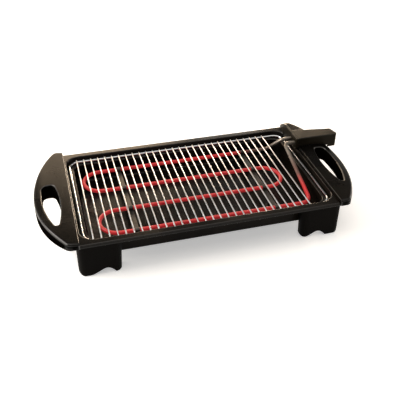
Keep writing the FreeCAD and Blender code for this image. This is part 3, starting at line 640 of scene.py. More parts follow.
def drawn_metal(name):
    """Streaks of drawn or rolled metal, run along the smallest side of its stretch, and stains."""
    tree, start = shader_group(name, Vector=None, Stretch=None, Bright=0.15, Dull=0.35)
    long = add(tree, "ShaderNodeVectorMath", {0: start["Vector"], 1: start["Stretch"]},
               operation="MULTIPLY")
    streak = noise(tree, long, 1.0, detail=4.0)
    rough = ramp(tree, streak, *STREAK_BAND, start["Bright"], start["Dull"])
    cloud = noise(tree, start["Vector"], STAIN_SCALE, detail=5.0, rough=0.65)
    stain = eased(tree, cloud, *STAIN_BAND)
    return group_outputs(tree, Height=streak, Roughness=rough, Stain=stain)


def mixed(tree, factor, a, b):
    """Colour between a and b."""
    return add(tree, "ShaderNodeMix", {0: factor, 6: a, 7: b}, out=2, data_type="RGBA")


def bumped(tree, height, strength, depth=FINE):
    return add(tree, "ShaderNodeBump", {"Height": height, "Strength": strength, "Distance": depth})


def new_material(name):
    """Empty material, and the Object coordinates that its detail follows."""
    material = bpy.data.materials.new(name)
    material.use_nodes = True
    tree = material.node_tree
    tree.nodes.clear()
    return material, tree, add(tree, "ShaderNodeTexCoord", out="Object")


def finished(material, sockets):
    """The material with its Principled shader's sockets filled in."""
    tree = material.node_tree
    shader = add(tree, "ShaderNodeBsdfPrincipled", sockets)
    add(tree, "ShaderNodeOutputMaterial", {"Surface": shader})
    return material


def chosen(tint_name):
    """A tint as the user has set it."""
    return getattr(bpy.context.scene.grill_finish, tint_name)


def shaded(colour, by):
    """A tint made darker or lighter."""
    return tuple(min(1.0, c * by) for c in colour[:3]) + (1.0,)


def moulding(name, base, light, rough, grain, bump, specular, dust, polish=0.0, walls=1.0):
    """Black finish with grain, sheen and dust, polished on edges and duller on upright walls."""
    material, tree, where = new_material(name)
    face = grouped(tree, moulded_grain, Vector=where, Grain=grain, Bright=rough[0], Dull=rough[1])
    specks = grouped(tree, light_dust, Vector=where, Amount=dust)
    facing = upward(tree, add(tree, "ShaderNodeTexCoord", out="Normal"))
    level = ramp(tree, facing, *TOP_BAND, specular * walls, specular)
    edge = add(tree, "ShaderNodeAttribute", out="Fac", attribute_name="edge_shine")
    clean = mixed(tree, face["Flow"], base, light)
    return finished(material, {
        "Base Color": mixed(tree, specks["Mask"], clean, chosen("dust")),
        "Roughness": face["Roughness"],
        "Specular IOR Level": calc(tree, "MULTIPLY_ADD", edge, polish, level),
        "Normal": bumped(tree, face["Height"], bump, COARSE),
    })


def metal(name, base, stain, rough, stretch, bump):
    """Drawn, rolled or plated metal with streaks and faint stains."""
    material, tree, where = new_material(name)
    face = grouped(tree, drawn_metal, Vector=where, Stretch=stretch, Bright=rough[0], Dull=rough[1])
    return finished(material, {
        "Base Color": mixed(tree, face["Stain"], base, stain),
        "Metallic": 1.0,
        "Roughness": face["Roughness"],
        "Normal": bumped(tree, face["Height"], bump),
    })


def sheath(name, base, stain, rough, stretch, bump, glow):
    """Heating tube: grey metal at its ends, glowing red between, with a fine oxide mottle."""
    material, tree, where = new_material(name)
    heat = add(tree, "ShaderNodeAttribute", out="Fac", attribute_name="tube_heat")
    face = grouped(tree, drawn_metal, Vector=where, Stretch=stretch, Bright=rough[0], Dull=rough[1])
    cold = mixed(tree, face["Stain"], base, stain)
    glowing = chosen("hot_sheath")
    hot = mixed(tree, face["Stain"], glowing, shaded(glowing, HOT_STAIN))
    dull = mixed(tree, ramp(tree, heat, *SCORCH_BAND), cold, chosen("scorched"))
    redness = ramp(tree, heat, *GLOW_BAND)
    return finished(material, {
        "Base Color": mixed(tree, redness, dull, hot),
        "Emission Color": mixed(tree, redness, (0.0, 0.0, 0.0, 1.0), hot),
        "Emission Strength": glow,
        "Metallic": ramp(tree, heat, 0.0, 1.0, COLD_METALLIC, 0.0),
        "Roughness": face["Roughness"],
        "Normal": bumped(tree, face["Height"], bump),
    })


def pressed(name, base, second, rough, grain, bump):
    """Pressed ceramic with fine dark flecks."""
    material, tree, where = new_material(name)
    face = grouped(tree, moulded_grain, Vector=where, Grain=grain, Bright=rough[0], Dull=rough[1])
    flecks = grouped(tree, light_dust, Vector=where, Specks=2600.0, Patches=300.0, Amount=0.7)
    plain = mixed(tree, face["Flow"], base, second)
    return finished(material, {
        "Base Color": mixed(tree, flecks["Mask"], plain, chosen("fleck")),
        "Roughness": face["Roughness"],
        "Normal": bumped(tree, face["Height"], bump),
    })


def woven(name, base, second, rough, threads, bump):
    """Woven glass sleeve: two sets of crossing threads."""
    material, tree, where = new_material(name)
    waves = []
    for turn in (THREAD_TURN, -THREAD_TURN):
        slanted = add(tree, "ShaderNodeMapping", {"Vector": where, "Rotation": (0.0, 0.0, turn)})
        waves.append(add(tree, "ShaderNodeTexWave",
                         {"Vector": slanted, "Scale": threads, "Distortion": 0.6}, out="Fac"))
    weave = calc(tree, "MAXIMUM", *waves)
    return finished(material, {
        "Base Color": mixed(tree, weave, second, base),
        "Roughness": rough,
        "Normal": bumped(tree, weave, bump, COARSE),
    })


# Each finish: its kind, its tint, a second tint or how bright that is beside it, and its surface
FINISHES = {
    "baked_enamel": (moulding, "enamel", "enamel_sheen", dict(
        rough=(0.18, 0.28), grain=700.0, bump=0.05, specular=0.24, dust=0.01,
        polish=0.3, walls=0.2)),
    "satin_handle": (moulding, "handle", "handle_light", dict(
        rough=(0.24, 0.32), grain=1500.0, bump=0.10, specular=0.10, dust=0.01,
        polish=0.9, walls=0.0)),
    "matt_leg": (moulding, "leg", 1.6, dict(
        rough=(0.44, 0.56), grain=1500.0, bump=0.14, specular=0.03, dust=0.01)),
    "satin_box": (moulding, "control", 1.7, dict(
        rough=(0.30, 0.42), grain=1500.0, bump=0.12, specular=0.12, dust=0.02,
        polish=0.2, walls=0.3)),
    "soft_rubber": (moulding, "rubber", 1.8, dict(
        rough=(0.58, 0.74), grain=1100.0, bump=0.2, specular=0.3, dust=0.05)),
    "bright_chrome": (metal, "chrome", 0.82, dict(
        rough=(0.26, 0.38), stretch=(900.0, 40.0, 900.0), bump=0.03)),
    "smooth_chrome": (metal, "chrome", 0.82, dict(
        rough=(0.06, 0.12), stretch=(300.0, 300.0, 900.0), bump=0.02)),
    "rolled_strip": (metal, "strip", 0.45, dict(
        rough=(0.32, 0.52), stretch=(900.0, 30.0, 900.0), bump=0.12)),
    "zinc_steel": (metal, "zinc", 0.7, dict(
        rough=(0.26, 0.42), stretch=(300.0, 300.0, 300.0), bump=0.06)),
    "glowing_sheath": (sheath, "cold_sheath", 0.6, dict(
        rough=(0.26, 0.42), stretch=(260.0, 260.0, 260.0), bump=0.08, glow=0.35)),
    "pressed_ceramic": (pressed, "ceramic", 0.86, dict(rough=(0.45, 0.62), grain=2200.0, bump=0.2)),
    "woven_sleeve": (woven, "sleeve", 0.55, dict(rough=0.85, threads=420.0, bump=0.5)),
}


def finish(name):
    """A finish by its name, made the first time it is asked for."""
    if name not in bpy.data.materials:
        build, first, second, surface = FINISHES[name]
        base = chosen(first)
        second = chosen(second) if isinstance(second, str) else shaded(base, second)
        build(name, base, second, **surface)
    return bpy.data.materials[name]


# Pressed tray

def tray_rings(size):
    """Rings from the tray's floor up, over the rim and back down the outside."""
    sheet, bend, edge = size.sheet, size.floor_bend, size.pressed_edge
    rim_under, lip_end = RIM_TOP - sheet, RIM_TOP - size.lip_depth
    ledge, floor = RIM_TOP - size.ledge_drop, RIM_TOP - size.depth
    wall_out = size.upper_draft
    wall_in = wall_out + size.ledge_width
    wall_low = wall_in + size.lower_draft
    out_corner = size.opening_corner - size.upper_draft
    in_corner = out_corner - size.ledge_width / 2
    low_corner = in_corner - size.lower_draft / 2
    rings = []

    def pan(inset, corner, z):
        half_x, half_y = RIM_HALF_X - size.rim_end, RIM_HALF_Y - size.rim_side
        rings.append(round_loop(half_x - inset, half_y - inset, corner, z))

    def rim(inset, z):
        rings.append(round_loop(RIM_HALF_X - inset, RIM_HALF_Y - inset, size.rim_corner - inset, z))

    for sine, cosine in BEND:
        pan(wall_low + bend * sine, low_corner, floor + bend * cosine)
    for sine, cosine in BEND:
        pan(wall_in - edge * cosine, in_corner, ledge - edge * sine)
    for sine, cosine in BEND:
        pan(wall_out + edge * sine, out_corner, ledge + edge * cosine)
    for sine, cosine in BEND:
        pan(-edge * cosine, size.opening_corner, RIM_TOP - edge * sine)
    for sine, cosine in BEND:
        rim(size.lip_bend * sine, RIM_TOP - size.lip_bend * cosine)
    rim(0.0, lip_end + HAIR / 2)
    rim(HAIR / 2, lip_end)
    rim(sheet - HAIR / 2, lip_end)
    rim(sheet, lip_end + HAIR / 2)
    rim(sheet, rim_under)
    pan(-sheet, size.opening_corner + sheet, rim_under)
    pan(wall_out - sheet, out_corner + sheet, ledge - sheet)
    pan(wall_in - sheet, in_corner + sheet, ledge - sheet)
    for sine, cosine in BEND:
        pan(wall_low - sheet + (bend + sheet) * cosine, low_corner + sheet,
            floor - sheet + (bend + sheet) * sine)
    return rings


class GRILL_OT_tray(bpy.types.Operator):
    """Pressed drip tray with its rim, the ledge for the rack and the floor"""
    bl_idname = "grill.tray"
    bl_label = "Drip tray"

    def execute(self, context):
        rings = tray_rings(context.scene.grill_tray)
        tray = mark_edges(smooth(solid("pressed_tray", *loft(rings))))
        settle(tray, "baked_enamel", "base", "body_enamel", "drip_tray")
        return {"FINISHED"}


# Handles: points round their loops, side by side with those round the finger hole

INNER_POINTS = 40
END_POINTS = 6
CORNER_POINTS = 9
BEYOND_POINTS = 16            # outer edge past each end of the hole
OUTER_POINTS = 40             # outer edge beside the hole
TOP_PARTS = (0.08, 0.22, 0.36, 0.5, 0.64, 0.78, 0.92)   # rings between the outer edge and the hole
INSIDE_PARTS = (0.0, 0.2, 0.4, 0.6, 0.8, 1.0)           # and on the underside
OVERRUN = 0.002               # how far the curved faces are drawn past the handle
POCKET_OVERRUN = 0.02         # and the box's pocket
LINER_POINTS = 14             # along the pocket's side walls
LINER_FLOOR_POINTS = 6
LINER_LIFT = HAIR / 10        # of those walls, above the rim


def handle_arc(size):
    """Radius of a handle's outer edge, and how far out its centre lies."""
    half = RIM_HALF_Y + size.wrap
    sagitta = size.reach - size.end
    radius = (sagitta ** 2 + half ** 2) / (2 * sagitta)
    return radius, RIM_HALF_X - size.inset + size.reach - radius


def handle_outline(size, inset, inner_inset, end_inset):
    """Plan loop of a handle, drawn in, from its back inner corner round by the front."""
    half = RIM_HALF_Y + size.wrap
    inner = RIM_HALF_X - size.inset + inner_inset
    flat = half - end_inset
    turn_y = half - size.corner
    radius, centre = handle_arc(size)
    run = math.sqrt((radius - size.corner) ** 2 - turn_y ** 2)
    turn_x = centre + run
    flat_x = turn_x - 2 * (inset - end_inset)
    swing = math.atan2(turn_y, run)
    small, large = size.corner - inset, radius - inset
    hole = hole_middles(size)
    turns = [math.pi * i / (INNER_POINTS - 1) for i in range(INNER_POINTS)]
    inside = [(inner, flat * math.cos(turn)) for turn in turns]
    outside = arcs(((turn_x, -turn_y), small, -QUARTER, -swing, CORNER_POINTS),
                   ((centre, 0.0), large, -swing, hole.out_front, BEYOND_POINTS),
                   ((centre, 0.0), large, hole.out_front, hole.out_back, OUTER_POINTS),
                   ((centre, 0.0), large, hole.out_back, swing, BEYOND_POINTS),
                   ((turn_x, turn_y), small, swing, QUARTER, CORNER_POINTS))
    return [*inside, *spread((inner, -flat), (flat_x, -flat), END_POINTS),
            *outside, *spread((flat_x, flat), (inner, flat), END_POINTS)]


def hole_middles(size):
    """Middles, radii and headings of the arcs that bound the finger hole."""
    half = RIM_HALF_Y + size.wrap
    radius, centre = handle_arc(size)
    outer = radius - size.grip
    front, back = size.hole_front - half, half - size.hole_back
    middle = (front + back) / 2
    widths = ((back, size.hole_back_width), (middle, size.hole_width),
              (front, size.hole_front_width))
    inner_centre, inner = circle_through(*((centre + math.sqrt(outer ** 2 - y ** 2) - width, y)
                                           for y, width in widths))

    def corners(y, small):
        """Middles of the two corner rounds at one end."""
        inside = inner_centre[0] - math.sqrt((inner - small) ** 2 - (y - inner_centre[1]) ** 2)
        outside = centre + math.sqrt((outer - small) ** 2 - y ** 2)
        return (inside, y), (outside, y)

    def heading(start, end):
        return math.atan2(end[1] - start[1], end[0] - start[0])

    front_in, front_out = corners(front + size.hole_front_round, size.hole_front_round)
    back_in, back_out = corners(back - size.hole_back_round, size.hole_back_round)
    return SimpleNamespace(
        inner_centre=inner_centre, inner=inner, outer_centre=(centre, 0.0), outer=outer,
        front_in=front_in, front_out=front_out, back_in=back_in, back_out=back_out,
        in_back=heading(inner_centre, back_in) % (2 * math.pi),
        in_front=heading(inner_centre, front_in) % (2 * math.pi),
        out_front=heading((centre, 0.0), front_out),
        out_back=heading((centre, 0.0), back_out))


def hole_outline(size, grow):
    """Plan loop of the finger hole, point for point beside the handle's outline."""
    hole = hole_middles(size)
    tip, blunt = size.hole_front_round + grow, size.hole_back_round + grow
    tip_turn, blunt_turn = (hole.out_front - QUARTER) / 2, (hole.out_back + QUARTER) / 2
    inner, outer = hole.inner + grow, hole.outer + grow
    return arcs((hole.inner_centre, inner, hole.in_back, hole.in_front, INNER_POINTS),
                (hole.front_in, tip, hole.in_front, 3 * QUARTER, END_POINTS),
                (hole.front_out, tip, -QUARTER, tip_turn, CORNER_POINTS),
                (hole.front_out, tip, tip_turn, hole.out_front, BEYOND_POINTS),
                (hole.outer_centre, outer, hole.out_front, hole.out_back, OUTER_POINTS),
                (hole.back_out, blunt, hole.out_back, blunt_turn, BEYOND_POINTS),
                (hole.back_out, blunt, blunt_turn, QUARTER, CORNER_POINTS),
                (hole.back_in, blunt, QUARTER, hole.in_back, END_POINTS))


def handle_levels(size):
    """Height of the crowned top by X, and of the skirt's edge by Y."""
    inner = RIM_HALF_X - size.inset
    top, top_radius = circle_through((inner - OVERRUN, RIM_TOP + size.rise),
                                     (inner + size.crown_x, RIM_TOP + size.crown),
                                     (inner + size.reach + OVERRUN, RIM_TOP + size.outer_rise))
    half = RIM_HALF_Y + size.wrap + OVERRUN
    low, low_radius = circle_through((-half, RIM_TOP - size.end_skirt), (0.0, RIM_TOP - size.skirt),
                                     (half, RIM_TOP - size.end_skirt))

    def crown(x):
        return top[1] + math.sqrt(top_radius ** 2 - (x - top[0]) ** 2)

    def skirt(y):
        return low[1] - math.sqrt(low_radius ** 2 - y ** 2)

    return crown, skirt


def handle_rings(size):
    """Rings of a right-hand handle: up its outside, over the crown, down the hole, back inside."""
    crown, skirt = handle_levels(size)
    drawn = handle_outline(size, size.edge, size.inner_edge, size.edge)
    tops = [crown(x) for x, y in drawn]
    full = RIM_HALF_Y + size.wrap - size.edge
    rings = []

    def ring(loop, level):
        rings.append([Vector((x, y, level(i, x, y))) for i, (x, y) in enumerate(loop)])

    def foot(up):
        return lambda i, x, y: (RIM_TOP if i < INNER_POINTS else skirt(y)) + up

    def hem(up):
        return lambda i, x, y: skirt(y) + up

    def under_crown(down):
        return lambda i, x, y: crown(x) - down

    def rounded(sine):
        """Level of the rounded edge, where the inner edge runs out into the round of the ends."""
        def level(i, x, y):
            if i >= INNER_POINTS:
                return tops[i] - size.edge * sine
            past = min(size.edge, max(0.0, abs(y) - full))
            over_end = tops[i] - size.edge + math.sqrt(size.edge ** 2 - past ** 2)
            return min(over_end, tops[i] - size.inner_edge * sine)
        return level

    def between(a, b, part):
        return [(p[0] + (q[0] - p[0]) * part, p[1] + (q[1] - p[1]) * part) for p, q in zip(a, b)]

    ring(handle_outline(size, HAIR, HAIR, HAIR), foot(0.0))
    ring(handle_outline(size, 0.0, 0.0, 0.0), foot(HAIR))
    for sine, cosine in BEND:
        outer = size.edge * cosine
        ring(handle_outline(size, outer, size.inner_edge * cosine, outer), rounded(sine))
    rim = hole_outline(size, size.hole_edge)
    for part in TOP_PARTS:
        ring(between(drawn, rim, part), under_crown(0.0))
    for sine, cosine in BEND:
        ring(hole_outline(size, size.hole_edge * sine), under_crown(size.hole_edge * cosine))
    for grow, up in ((0.0, HAIR), (HAIR, 0.0), (size.wall - HAIR, 0.0), (size.wall, HAIR)):
        ring(hole_outline(size, grow), hem(up))
    sleeve = hole_outline(size, size.wall)
    inside = handle_outline(size, size.wall, size.wall, size.end_wall)
    for part in INSIDE_PARTS:
        ring(between(sleeve, inside, part), under_crown(size.wall))
    ring(inside, foot(HAIR))
    ring(handle_outline(size, size.wall - HAIR, size.wall - HAIR, size.end_wall - HAIR), foot(0.0))
    return rings


def pocket_sides(control):
    """Front of the box's pocket, and its back by X, with room for the box."""
    slope = control.taper / (control.end - control.skew - control.plate_out)

    def back(x):
        return control.front + control.width + control.fit - slope * (x - control.plate_out)

    return control.front - control.fit, back


def pocket(control):
    """Closed shape of the pocket, run out past both edges of the handle."""
    front, back = pocket_sides(control)
    start, end = control.plate_out - POCKET_OVERRUN, control.end + POCKET_OVERRUN
    plan = ((start, front), (end, front), (end, back(end)), (start, back(start)))
    return loft([[Vector((x, y, z)) for x, y in plan] for z in (RIM_TOP, control.high)])


def pocket_liner(size, control):
    """Floor and two side walls of the box's pocket in the right-hand handle."""
    crown = handle_levels(size)[0]
    radius, centre = handle_arc(size)
    front, back = pocket_sides(control)
    wall = size.wall
    past_rim = RIM_HALF_X + control.fit
    start = RIM_HALF_X - size.inset + wall / 2

    def outer_x(y):
        return centre + math.sqrt((radius - wall / 2) ** 2 - y ** 2)

    def section(x, near, far, low, high):
        return [Vector((x, y, z)) for y, z in ((near, low), (far, low), (far, high), (near, high))]

    def side(near, far):
        end = outer_x(max(near(size.reach + start), far(size.reach + start)))
        return loft([section(x, near(x), far(x),
                             RIM_TOP + LINER_LIFT if x < past_rim else RIM_TOP - wall,
                             crown(x) - wall / 2)
                     for (x,) in spread((start,), (end,), LINER_POINTS)])

    floor = loft([section(x, front - wall / 2, back(x) + wall / 2, RIM_TOP - wall, RIM_TOP)
                  for (x,) in spread((past_rim,), (outer_x(back(past_rim)),), LINER_FLOOR_POINTS)])
    return [side(lambda x: front - wall, lambda x: front),
            side(back, lambda x: back(x) + wall), floor]


class GRILL_OT_handles(bpy.types.Operator):
    """Two crowned hollow handles with their finger holes, the right one pocketed for the box"""
    bl_idname = "grill.handles"
    bl_label = "Handles"

    def execute(self, context):
        size = context.scene.grill_handle
        control = context.scene.grill_control
        points, faces = loft(handle_rings(size), wrap=True)
        for name, side in (("left_grip", -1), ("right_grip", 1)):
            handle = solid(name, placed(points, side), faces)
            if side > 0:
                tool, tool_faces = pocket(control)
                cut_away(handle, placed(tool, side), tool_faces)
                for liner, liner_faces in pocket_liner(size, control):
                    add_shell(handle.data, placed(liner, side), liner_faces)
            mark_edges(smooth(handle))
            settle(handle, "satin_handle", "base", "handle_plastic", name.replace("grip", "handle"))
        return {"FINISHED"}


# Legs

LEG_CRISP_ANGLE = 40.0
FOOT_POINTS = 40              # along a leg's front and back
STEP_POINTS = 4               # from the leg's step to its side
FOOT_BAND = 0.004             # plain band above the wavy foot
FOOT_CUT = HAIR * 0.3         # middle of the foot's rounded edge, in from its corner
RISE_SLOPE, MIDDLE_SLOPE, TOP_SLOPE, FALL_SLOPE = 0.15, 0.52, 0.05, -1.3   # of the wavy foot


def hermite(points, x):
    """Height at x of a smooth line through (x, height, slope) points."""
    for (x0, h0, s0), (x1, h1, s1) in zip(points, points[1:]):
        if x0 <= x <= x1:
            run = x1 - x0
            t = (x - x0) / run
            return ((2 * t ** 3 - 3 * t ** 2 + 1) * h0 + (t ** 3 - 2 * t ** 2 + t) * run * s0
                    + (3 * t ** 2 - 2 * t ** 3) * h1 + (t ** 3 - t ** 2) * run * s1)
    return 0.0


def leg_foot(size, side):
    """Height of the wavy foot by distance from the tray's middle."""
    outer = RIM_HALF_X - size.end_inset
    inner = outer - size.length
    top = outer - size.arch_left if side < 0 else inner + size.arch_right
    rise, high = size.arch_rise, size.arch_height
    wave = [(-rise, 0.0, RISE_SLOPE), (-rise / 2, high / 2, MIDDLE_SLOPE), (0.0, high, TOP_SLOPE),
            (size.arch_fall, 0.0, FALL_SLOPE)]

    def level(x):
        heights = [0.0, hermite(wave, side * (x - top))]
        for gap, small in ((outer - x, size.foot_round), (x - inner, size.foot_inner_round)):
            if gap < small:
                heights.append(small - math.sqrt(max(0.0, small ** 2 - (small - gap) ** 2)))
        return max(heights)

    return level


def leg_loop(size, inset, draft):
    """Plan of a leg, drawn in, with many points along its front and back and two at its step."""
    outer = RIM_HALF_X - size.end_inset - inset
    inner = RIM_HALF_X - size.end_inset - size.length + draft + inset
    front, back = size.front - inset, size.back + inset
    big, small = size.corner - inset, size.back_corner - inset
    turn_y, back_y = big - front, -back - small
    raised = math.asin((-size.step - HAIR - turn_y) / big)
    lowered = math.asin((-size.step - turn_y) / big)
    return [*spread((inner + big, -front), (outer - big, -front), FOOT_POINTS),
            *arcs(((outer - big, turn_y), big, -QUARTER, raised, CORNER_STEPS),
                  ((outer - big, turn_y), big, lowered, 0.0, STEP_POINTS),
                  ((outer - small, back_y), small, 0.0, QUARTER, CORNER_STEPS)),
            *spread((outer - small, -back), (inner + small, -back), FOOT_POINTS),
            *arcs(((inner + small, back_y), small, QUARTER, math.pi, CORNER_STEPS),
                  ((inner + big, turn_y), big, math.pi, math.pi - lowered, STEP_POINTS),
                  ((inner + big, turn_y), big, math.pi - raised, 3 * QUARTER, CORNER_STEPS))]


def leg_rings(size, side, tray):
    """Rings of a hollow leg from the plate under the ledge, round the foot and up the outside."""
    under_rim = RIM_TOP - tray.sheet
    under_ledge = under_rim - tray.ledge_drop
    foot = leg_foot(size, side)

    def bottom(up):
        return lambda x, y: foot(x) + up

    def flat(z):
        return lambda x, y: z

    def top(x, y):
        return under_rim if y < -size.step - HAIR / 2 else under_ledge

    def ring(inset, level):
        points = []
        for (x0, y), (x1, _) in zip(leg_loop(size, inset, size.draft), leg_loop(size, inset, 0.0)):
            z = level(x0, y)
            points.append(Vector((x0 + (x1 - x0) * z / under_rim, y, z)))
        return points

    plate = flat(under_ledge - size.shoulder)
    return [ring(inset, level) for inset, level in (
        (size.wall, plate), (size.wall, bottom(HAIR)), (size.wall - HAIR, bottom(0.0)),
        (HAIR, bottom(0.0)), (FOOT_CUT, bottom(FOOT_CUT)), (0.0, bottom(HAIR)),
        (0.0, flat(size.arch_height + FOOT_BAND)), (0.0, plate), (0.0, top),
        (size.wall, top), (size.wall, flat(under_ledge)))]


class GRILL_OT_legs(bpy.types.Operator):
    """Four hollow legs with wavy feet, tucked under the rim"""
    bl_idname = "grill.legs"
    bl_label = "Legs"

    def execute(self, context):
        for side, x_name in ((-1, "left"), (1, "right")):
            points, faces = loft(leg_rings(context.scene.grill_leg, side, context.scene.grill_tray))
            for end, y_name in ((1, "front"), (-1, "back")):
                name = y_name + "_" + x_name + "_foot"
                turned_points = [Vector((p.x, p.y * end, p.z)) for p in placed(points, side)]
                leg = smooth(solid(name, turned_points, faces), LEG_CRISP_ANGLE)
                settle(leg, "matt_leg", "base", "leg_plastic", name.replace("foot", "leg"))
        return {"FINISHED"}


# Wire rack

WIRE_SIDES = 14
WIRE_END_RINGS = 8
WIRE_WELD = HAIR / 10         # joins a wire to its rounded ends
WIRE_SLACK = HAIR / 50        # spares a rounded end's widest ring when its back is cut off
LOOP_SIDES = 18
LOOP_BEND_POINTS = 12


def bent_wire_loop(tree, start):
    """One wire bent into a rounded rectangle."""
    outline = add(tree, "GeometryNodeCurvePrimitiveQuadrilateral",
                  {"Width": start["Length"], "Height": start["Width"]})
    bent = add(tree, "GeometryNodeFilletCurve",
               {"Curve": outline, "Radius": start["Corner"], "Limit Radius": True,
                "Count": LOOP_BEND_POINTS}, mode="POLY")
    return tubed(tree, moved(tree, bent, start["Middle"]), start["Wire"], LOOP_SIDES)


def cross_wires(tree, start):
    """A row of straight wires with rounded ends, side by side."""
    row = add(tree, "GeometryNodeMeshLine",
              {"Count": start["Count"], "Start Location": start["First"],
               "Offset": along_axis(tree, "X", start["Pitch"])}, mode="OFFSET")
    radius = calc(tree, "MULTIPLY", start["Wire"], 0.5)
    body = calc(tree, "SUBTRACT", calc(tree, "MULTIPLY", start["Half length"], 2.0), start["Wire"])
    shift = calc(tree, "MULTIPLY", body, 0.5)
    parts = [add(tree, "GeometryNodeMeshCylinder",
                 {"Vertices": WIRE_SIDES, "Side Segments": 1, "Radius": radius, "Depth": body},
                 fill_type="NONE")]
    ball = add(tree, "GeometryNodeMeshUVSphere",
               {"Segments": WIRE_SIDES, "Rings": WIRE_END_RINGS, "Radius": radius})
    for sign in (1.0, -1.0):
        cap = moved(tree, ball, along_axis(tree, "Z", calc(tree, "MULTIPLY", shift, sign)))
        height = upward(tree, add(tree, "GeometryNodeInputPosition"))
        behind = add(tree, "FunctionNodeCompare", {0: calc(tree, "MULTIPLY", height, sign),
                                                   1: calc(tree, "SUBTRACT", shift, WIRE_SLACK)},
                     data_type="FLOAT", operation="LESS_THAN")
        parts.append(add(tree, "GeometryNodeDeleteGeometry", {"Geometry": cap, "Selection": behind},
                         domain="POINT"))
    whole = add(tree, "GeometryNodeJoinGeometry", {0: parts})
    welded = add(tree, "GeometryNodeMergeByDistance", {"Geometry": whole, "Distance": WIRE_WELD})
    return stood(tree, row, moved(tree, welded, (0.0, 0.0, 0.0), (QUARTER, 0.0, 0.0)))


class GRILL_OT_rack(bpy.types.Operator):
    """Loose wire rack: a bent frame wire and straight cross wires"""
    bl_idname = "grill.rack"
    bl_label = "Wire rack"

    def execute(self, context):
        size = context.scene.grill_rack
        loop = run_tree(bare_points("rack_loop"), bent_wire_loop,
                        {"Length": 2 * size.half_x, "Width": 2 * size.half_y, "Corner": size.corner,
                         "Wire": size.frame_wire, "Middle": (MIDDLE_X, 0.0, size.frame_level)})
        settle(loop, "smooth_chrome", "rack", "rack_chrome", "rack_frame")
        wires = run_tree(bare_points("rack_wires"), cross_wires,
                         {"Count": size.count, "Pitch": size.pitch, "Half length": size.cross_half,
                          "First": (MIDDLE_X + size.first, 0.0, size.cross_level),
                          "Wire": size.cross_wire})
        settle(wires, "bright_chrome", "rack", "rack_chrome", "rack_cross_wires")
        return {"FINISHED"}


# Heating element: corners of the tube's route from the back terminal, each with its bend radius

TUBE_SIDES = 20
TUBE_BEND_POINTS = 14
TUBE_STEP = 0.004             # between rings along the tube
ELEMENT_ROUTE = (
    ((0.2140, 0.0655, 0.0740), 0.0),
    ((0.1865, 0.0655, 0.0740), 0.012),
    ((0.1650, 0.0900, 0.0420), 0.015),
    ((-0.1820, 0.0900, 0.0420), 0.030),
    ((-0.1820, 0.0300, 0.0420), 0.030),
    ((0.1570, 0.0300, 0.0420), 0.030),
    ((0.1570, -0.0300, 0.0420), 0.030),
    ((-0.1720, -0.0300, 0.0420), 0.030),
    ((-0.1720, -0.0900, 0.0420), 0.030),
    ((0.1775, -0.0900, 0.0420), 0.015),
    ((0.1835, 0.0495, 0.0740), 0.009),
    ((0.2140, 0.0495, 0.0740), 0.0),
)


def heated_tube(tree, start):
    """Tube along a route, each corner bent to its own radius, with heat kept along its length."""
    bent = add(tree, "GeometryNodeFilletCurve",
               {"Curve": start["Geometry"], "Radius": add(tree, "GeometryNodeInputRadius"),
                "Limit Radius": True, "Count": TUBE_BEND_POINTS}, mode="POLY")
    plain = add(tree, "GeometryNodeSetCurveRadius", {"Curve": bent, "Radius": 1.0})
    fine = add(tree, "GeometryNodeResampleCurve", {"Curve": plain, "Length": TUBE_STEP},
               mode="LENGTH")
    along = add(tree, "GeometryNodeSplineParameter", out="Length")
    rest = calc(tree, "SUBTRACT", add(tree, "GeometryNodeSplineLength", out="Length"), along)
    near = calc(tree, "MINIMUM", rest, along)
    heat = eased(tree, near, start["Cold"], calc(tree, "ADD", start["Cold"], start["Warm"]))
    kept = add(tree, "GeometryNodeStoreNamedAttribute",
               {"Geometry": fine, "Name": "tube_heat", "Value": heat},
               data_type="FLOAT", domain="POINT")
    return tubed(tree, kept, start["Tube"], TUBE_SIDES, caps=True)


class GRILL_OT_element(bpy.types.Operator):
    """One bent heating tube, grey at its two ends and red between"""
    bl_idname = "grill.element"
    bl_label = "Heating element"

    def execute(self, context):
        size = context.scene.grill_element
        curve = bpy.data.curves.new("heating_tube", "CURVE")
        curve.dimensions = "3D"
        route = curve.splines.new("POLY")
        route.points.add(len(ELEMENT_ROUTE) - 1)
        for point, ((x, y, z), radius) in zip(route.points, ELEMENT_ROUTE):
            point.co = (MIDDLE_X + x, y, z, 1.0)
            point.radius = radius
        tube = run_tree(link("heating_tube", curve), heated_tube,
                        {"Tube": size.tube, "Cold": size.cold, "Warm": size.warm})
        settle(tube, "glowing_sheath", "heater_unit", "element_sheath", "heating_element")
        return {"FINISHED"}


# Control box

ROUND_SIDES = 48              # round the cord inlet
BORE_REACH = 0.006            # how far its bore is cut, to each side of the wall's outer face
INLET_CRISP_ANGLE = 50.0
PLATE_CORNER_POINTS = 14
PLATE_EDGE_STEPS = 4
PLATE_EDGE_ANGLE = 30.0       # the end plate's edges that turn by more, in degrees, are rounded


def far_slope(size):
    """Outward direction of the box's slanted far end, and the middle of that end."""
    far = size.width - size.taper
    out = Vector((far, size.skew, 0.0)).normalized()
    middle = (MIDDLE_X + size.end - size.skew / 2, size.front + far / 2, size.inlet_level)
    return out, Vector(middle)


def turned(profile, out, middle):
    """Rings of a profile of (radius, height) points turned about an axis."""
    side = Vector((0.0, 0.0, 1.0))
    across = out.cross(side)
    turns = [2 * math.pi * i / ROUND_SIDES for i in range(ROUND_SIDES)]
    spokes = [side * math.cos(turn) + across * math.sin(turn) for turn in turns]
    return [[middle + out * height + radius * spoke for spoke in spokes]
            for radius, height in profile]


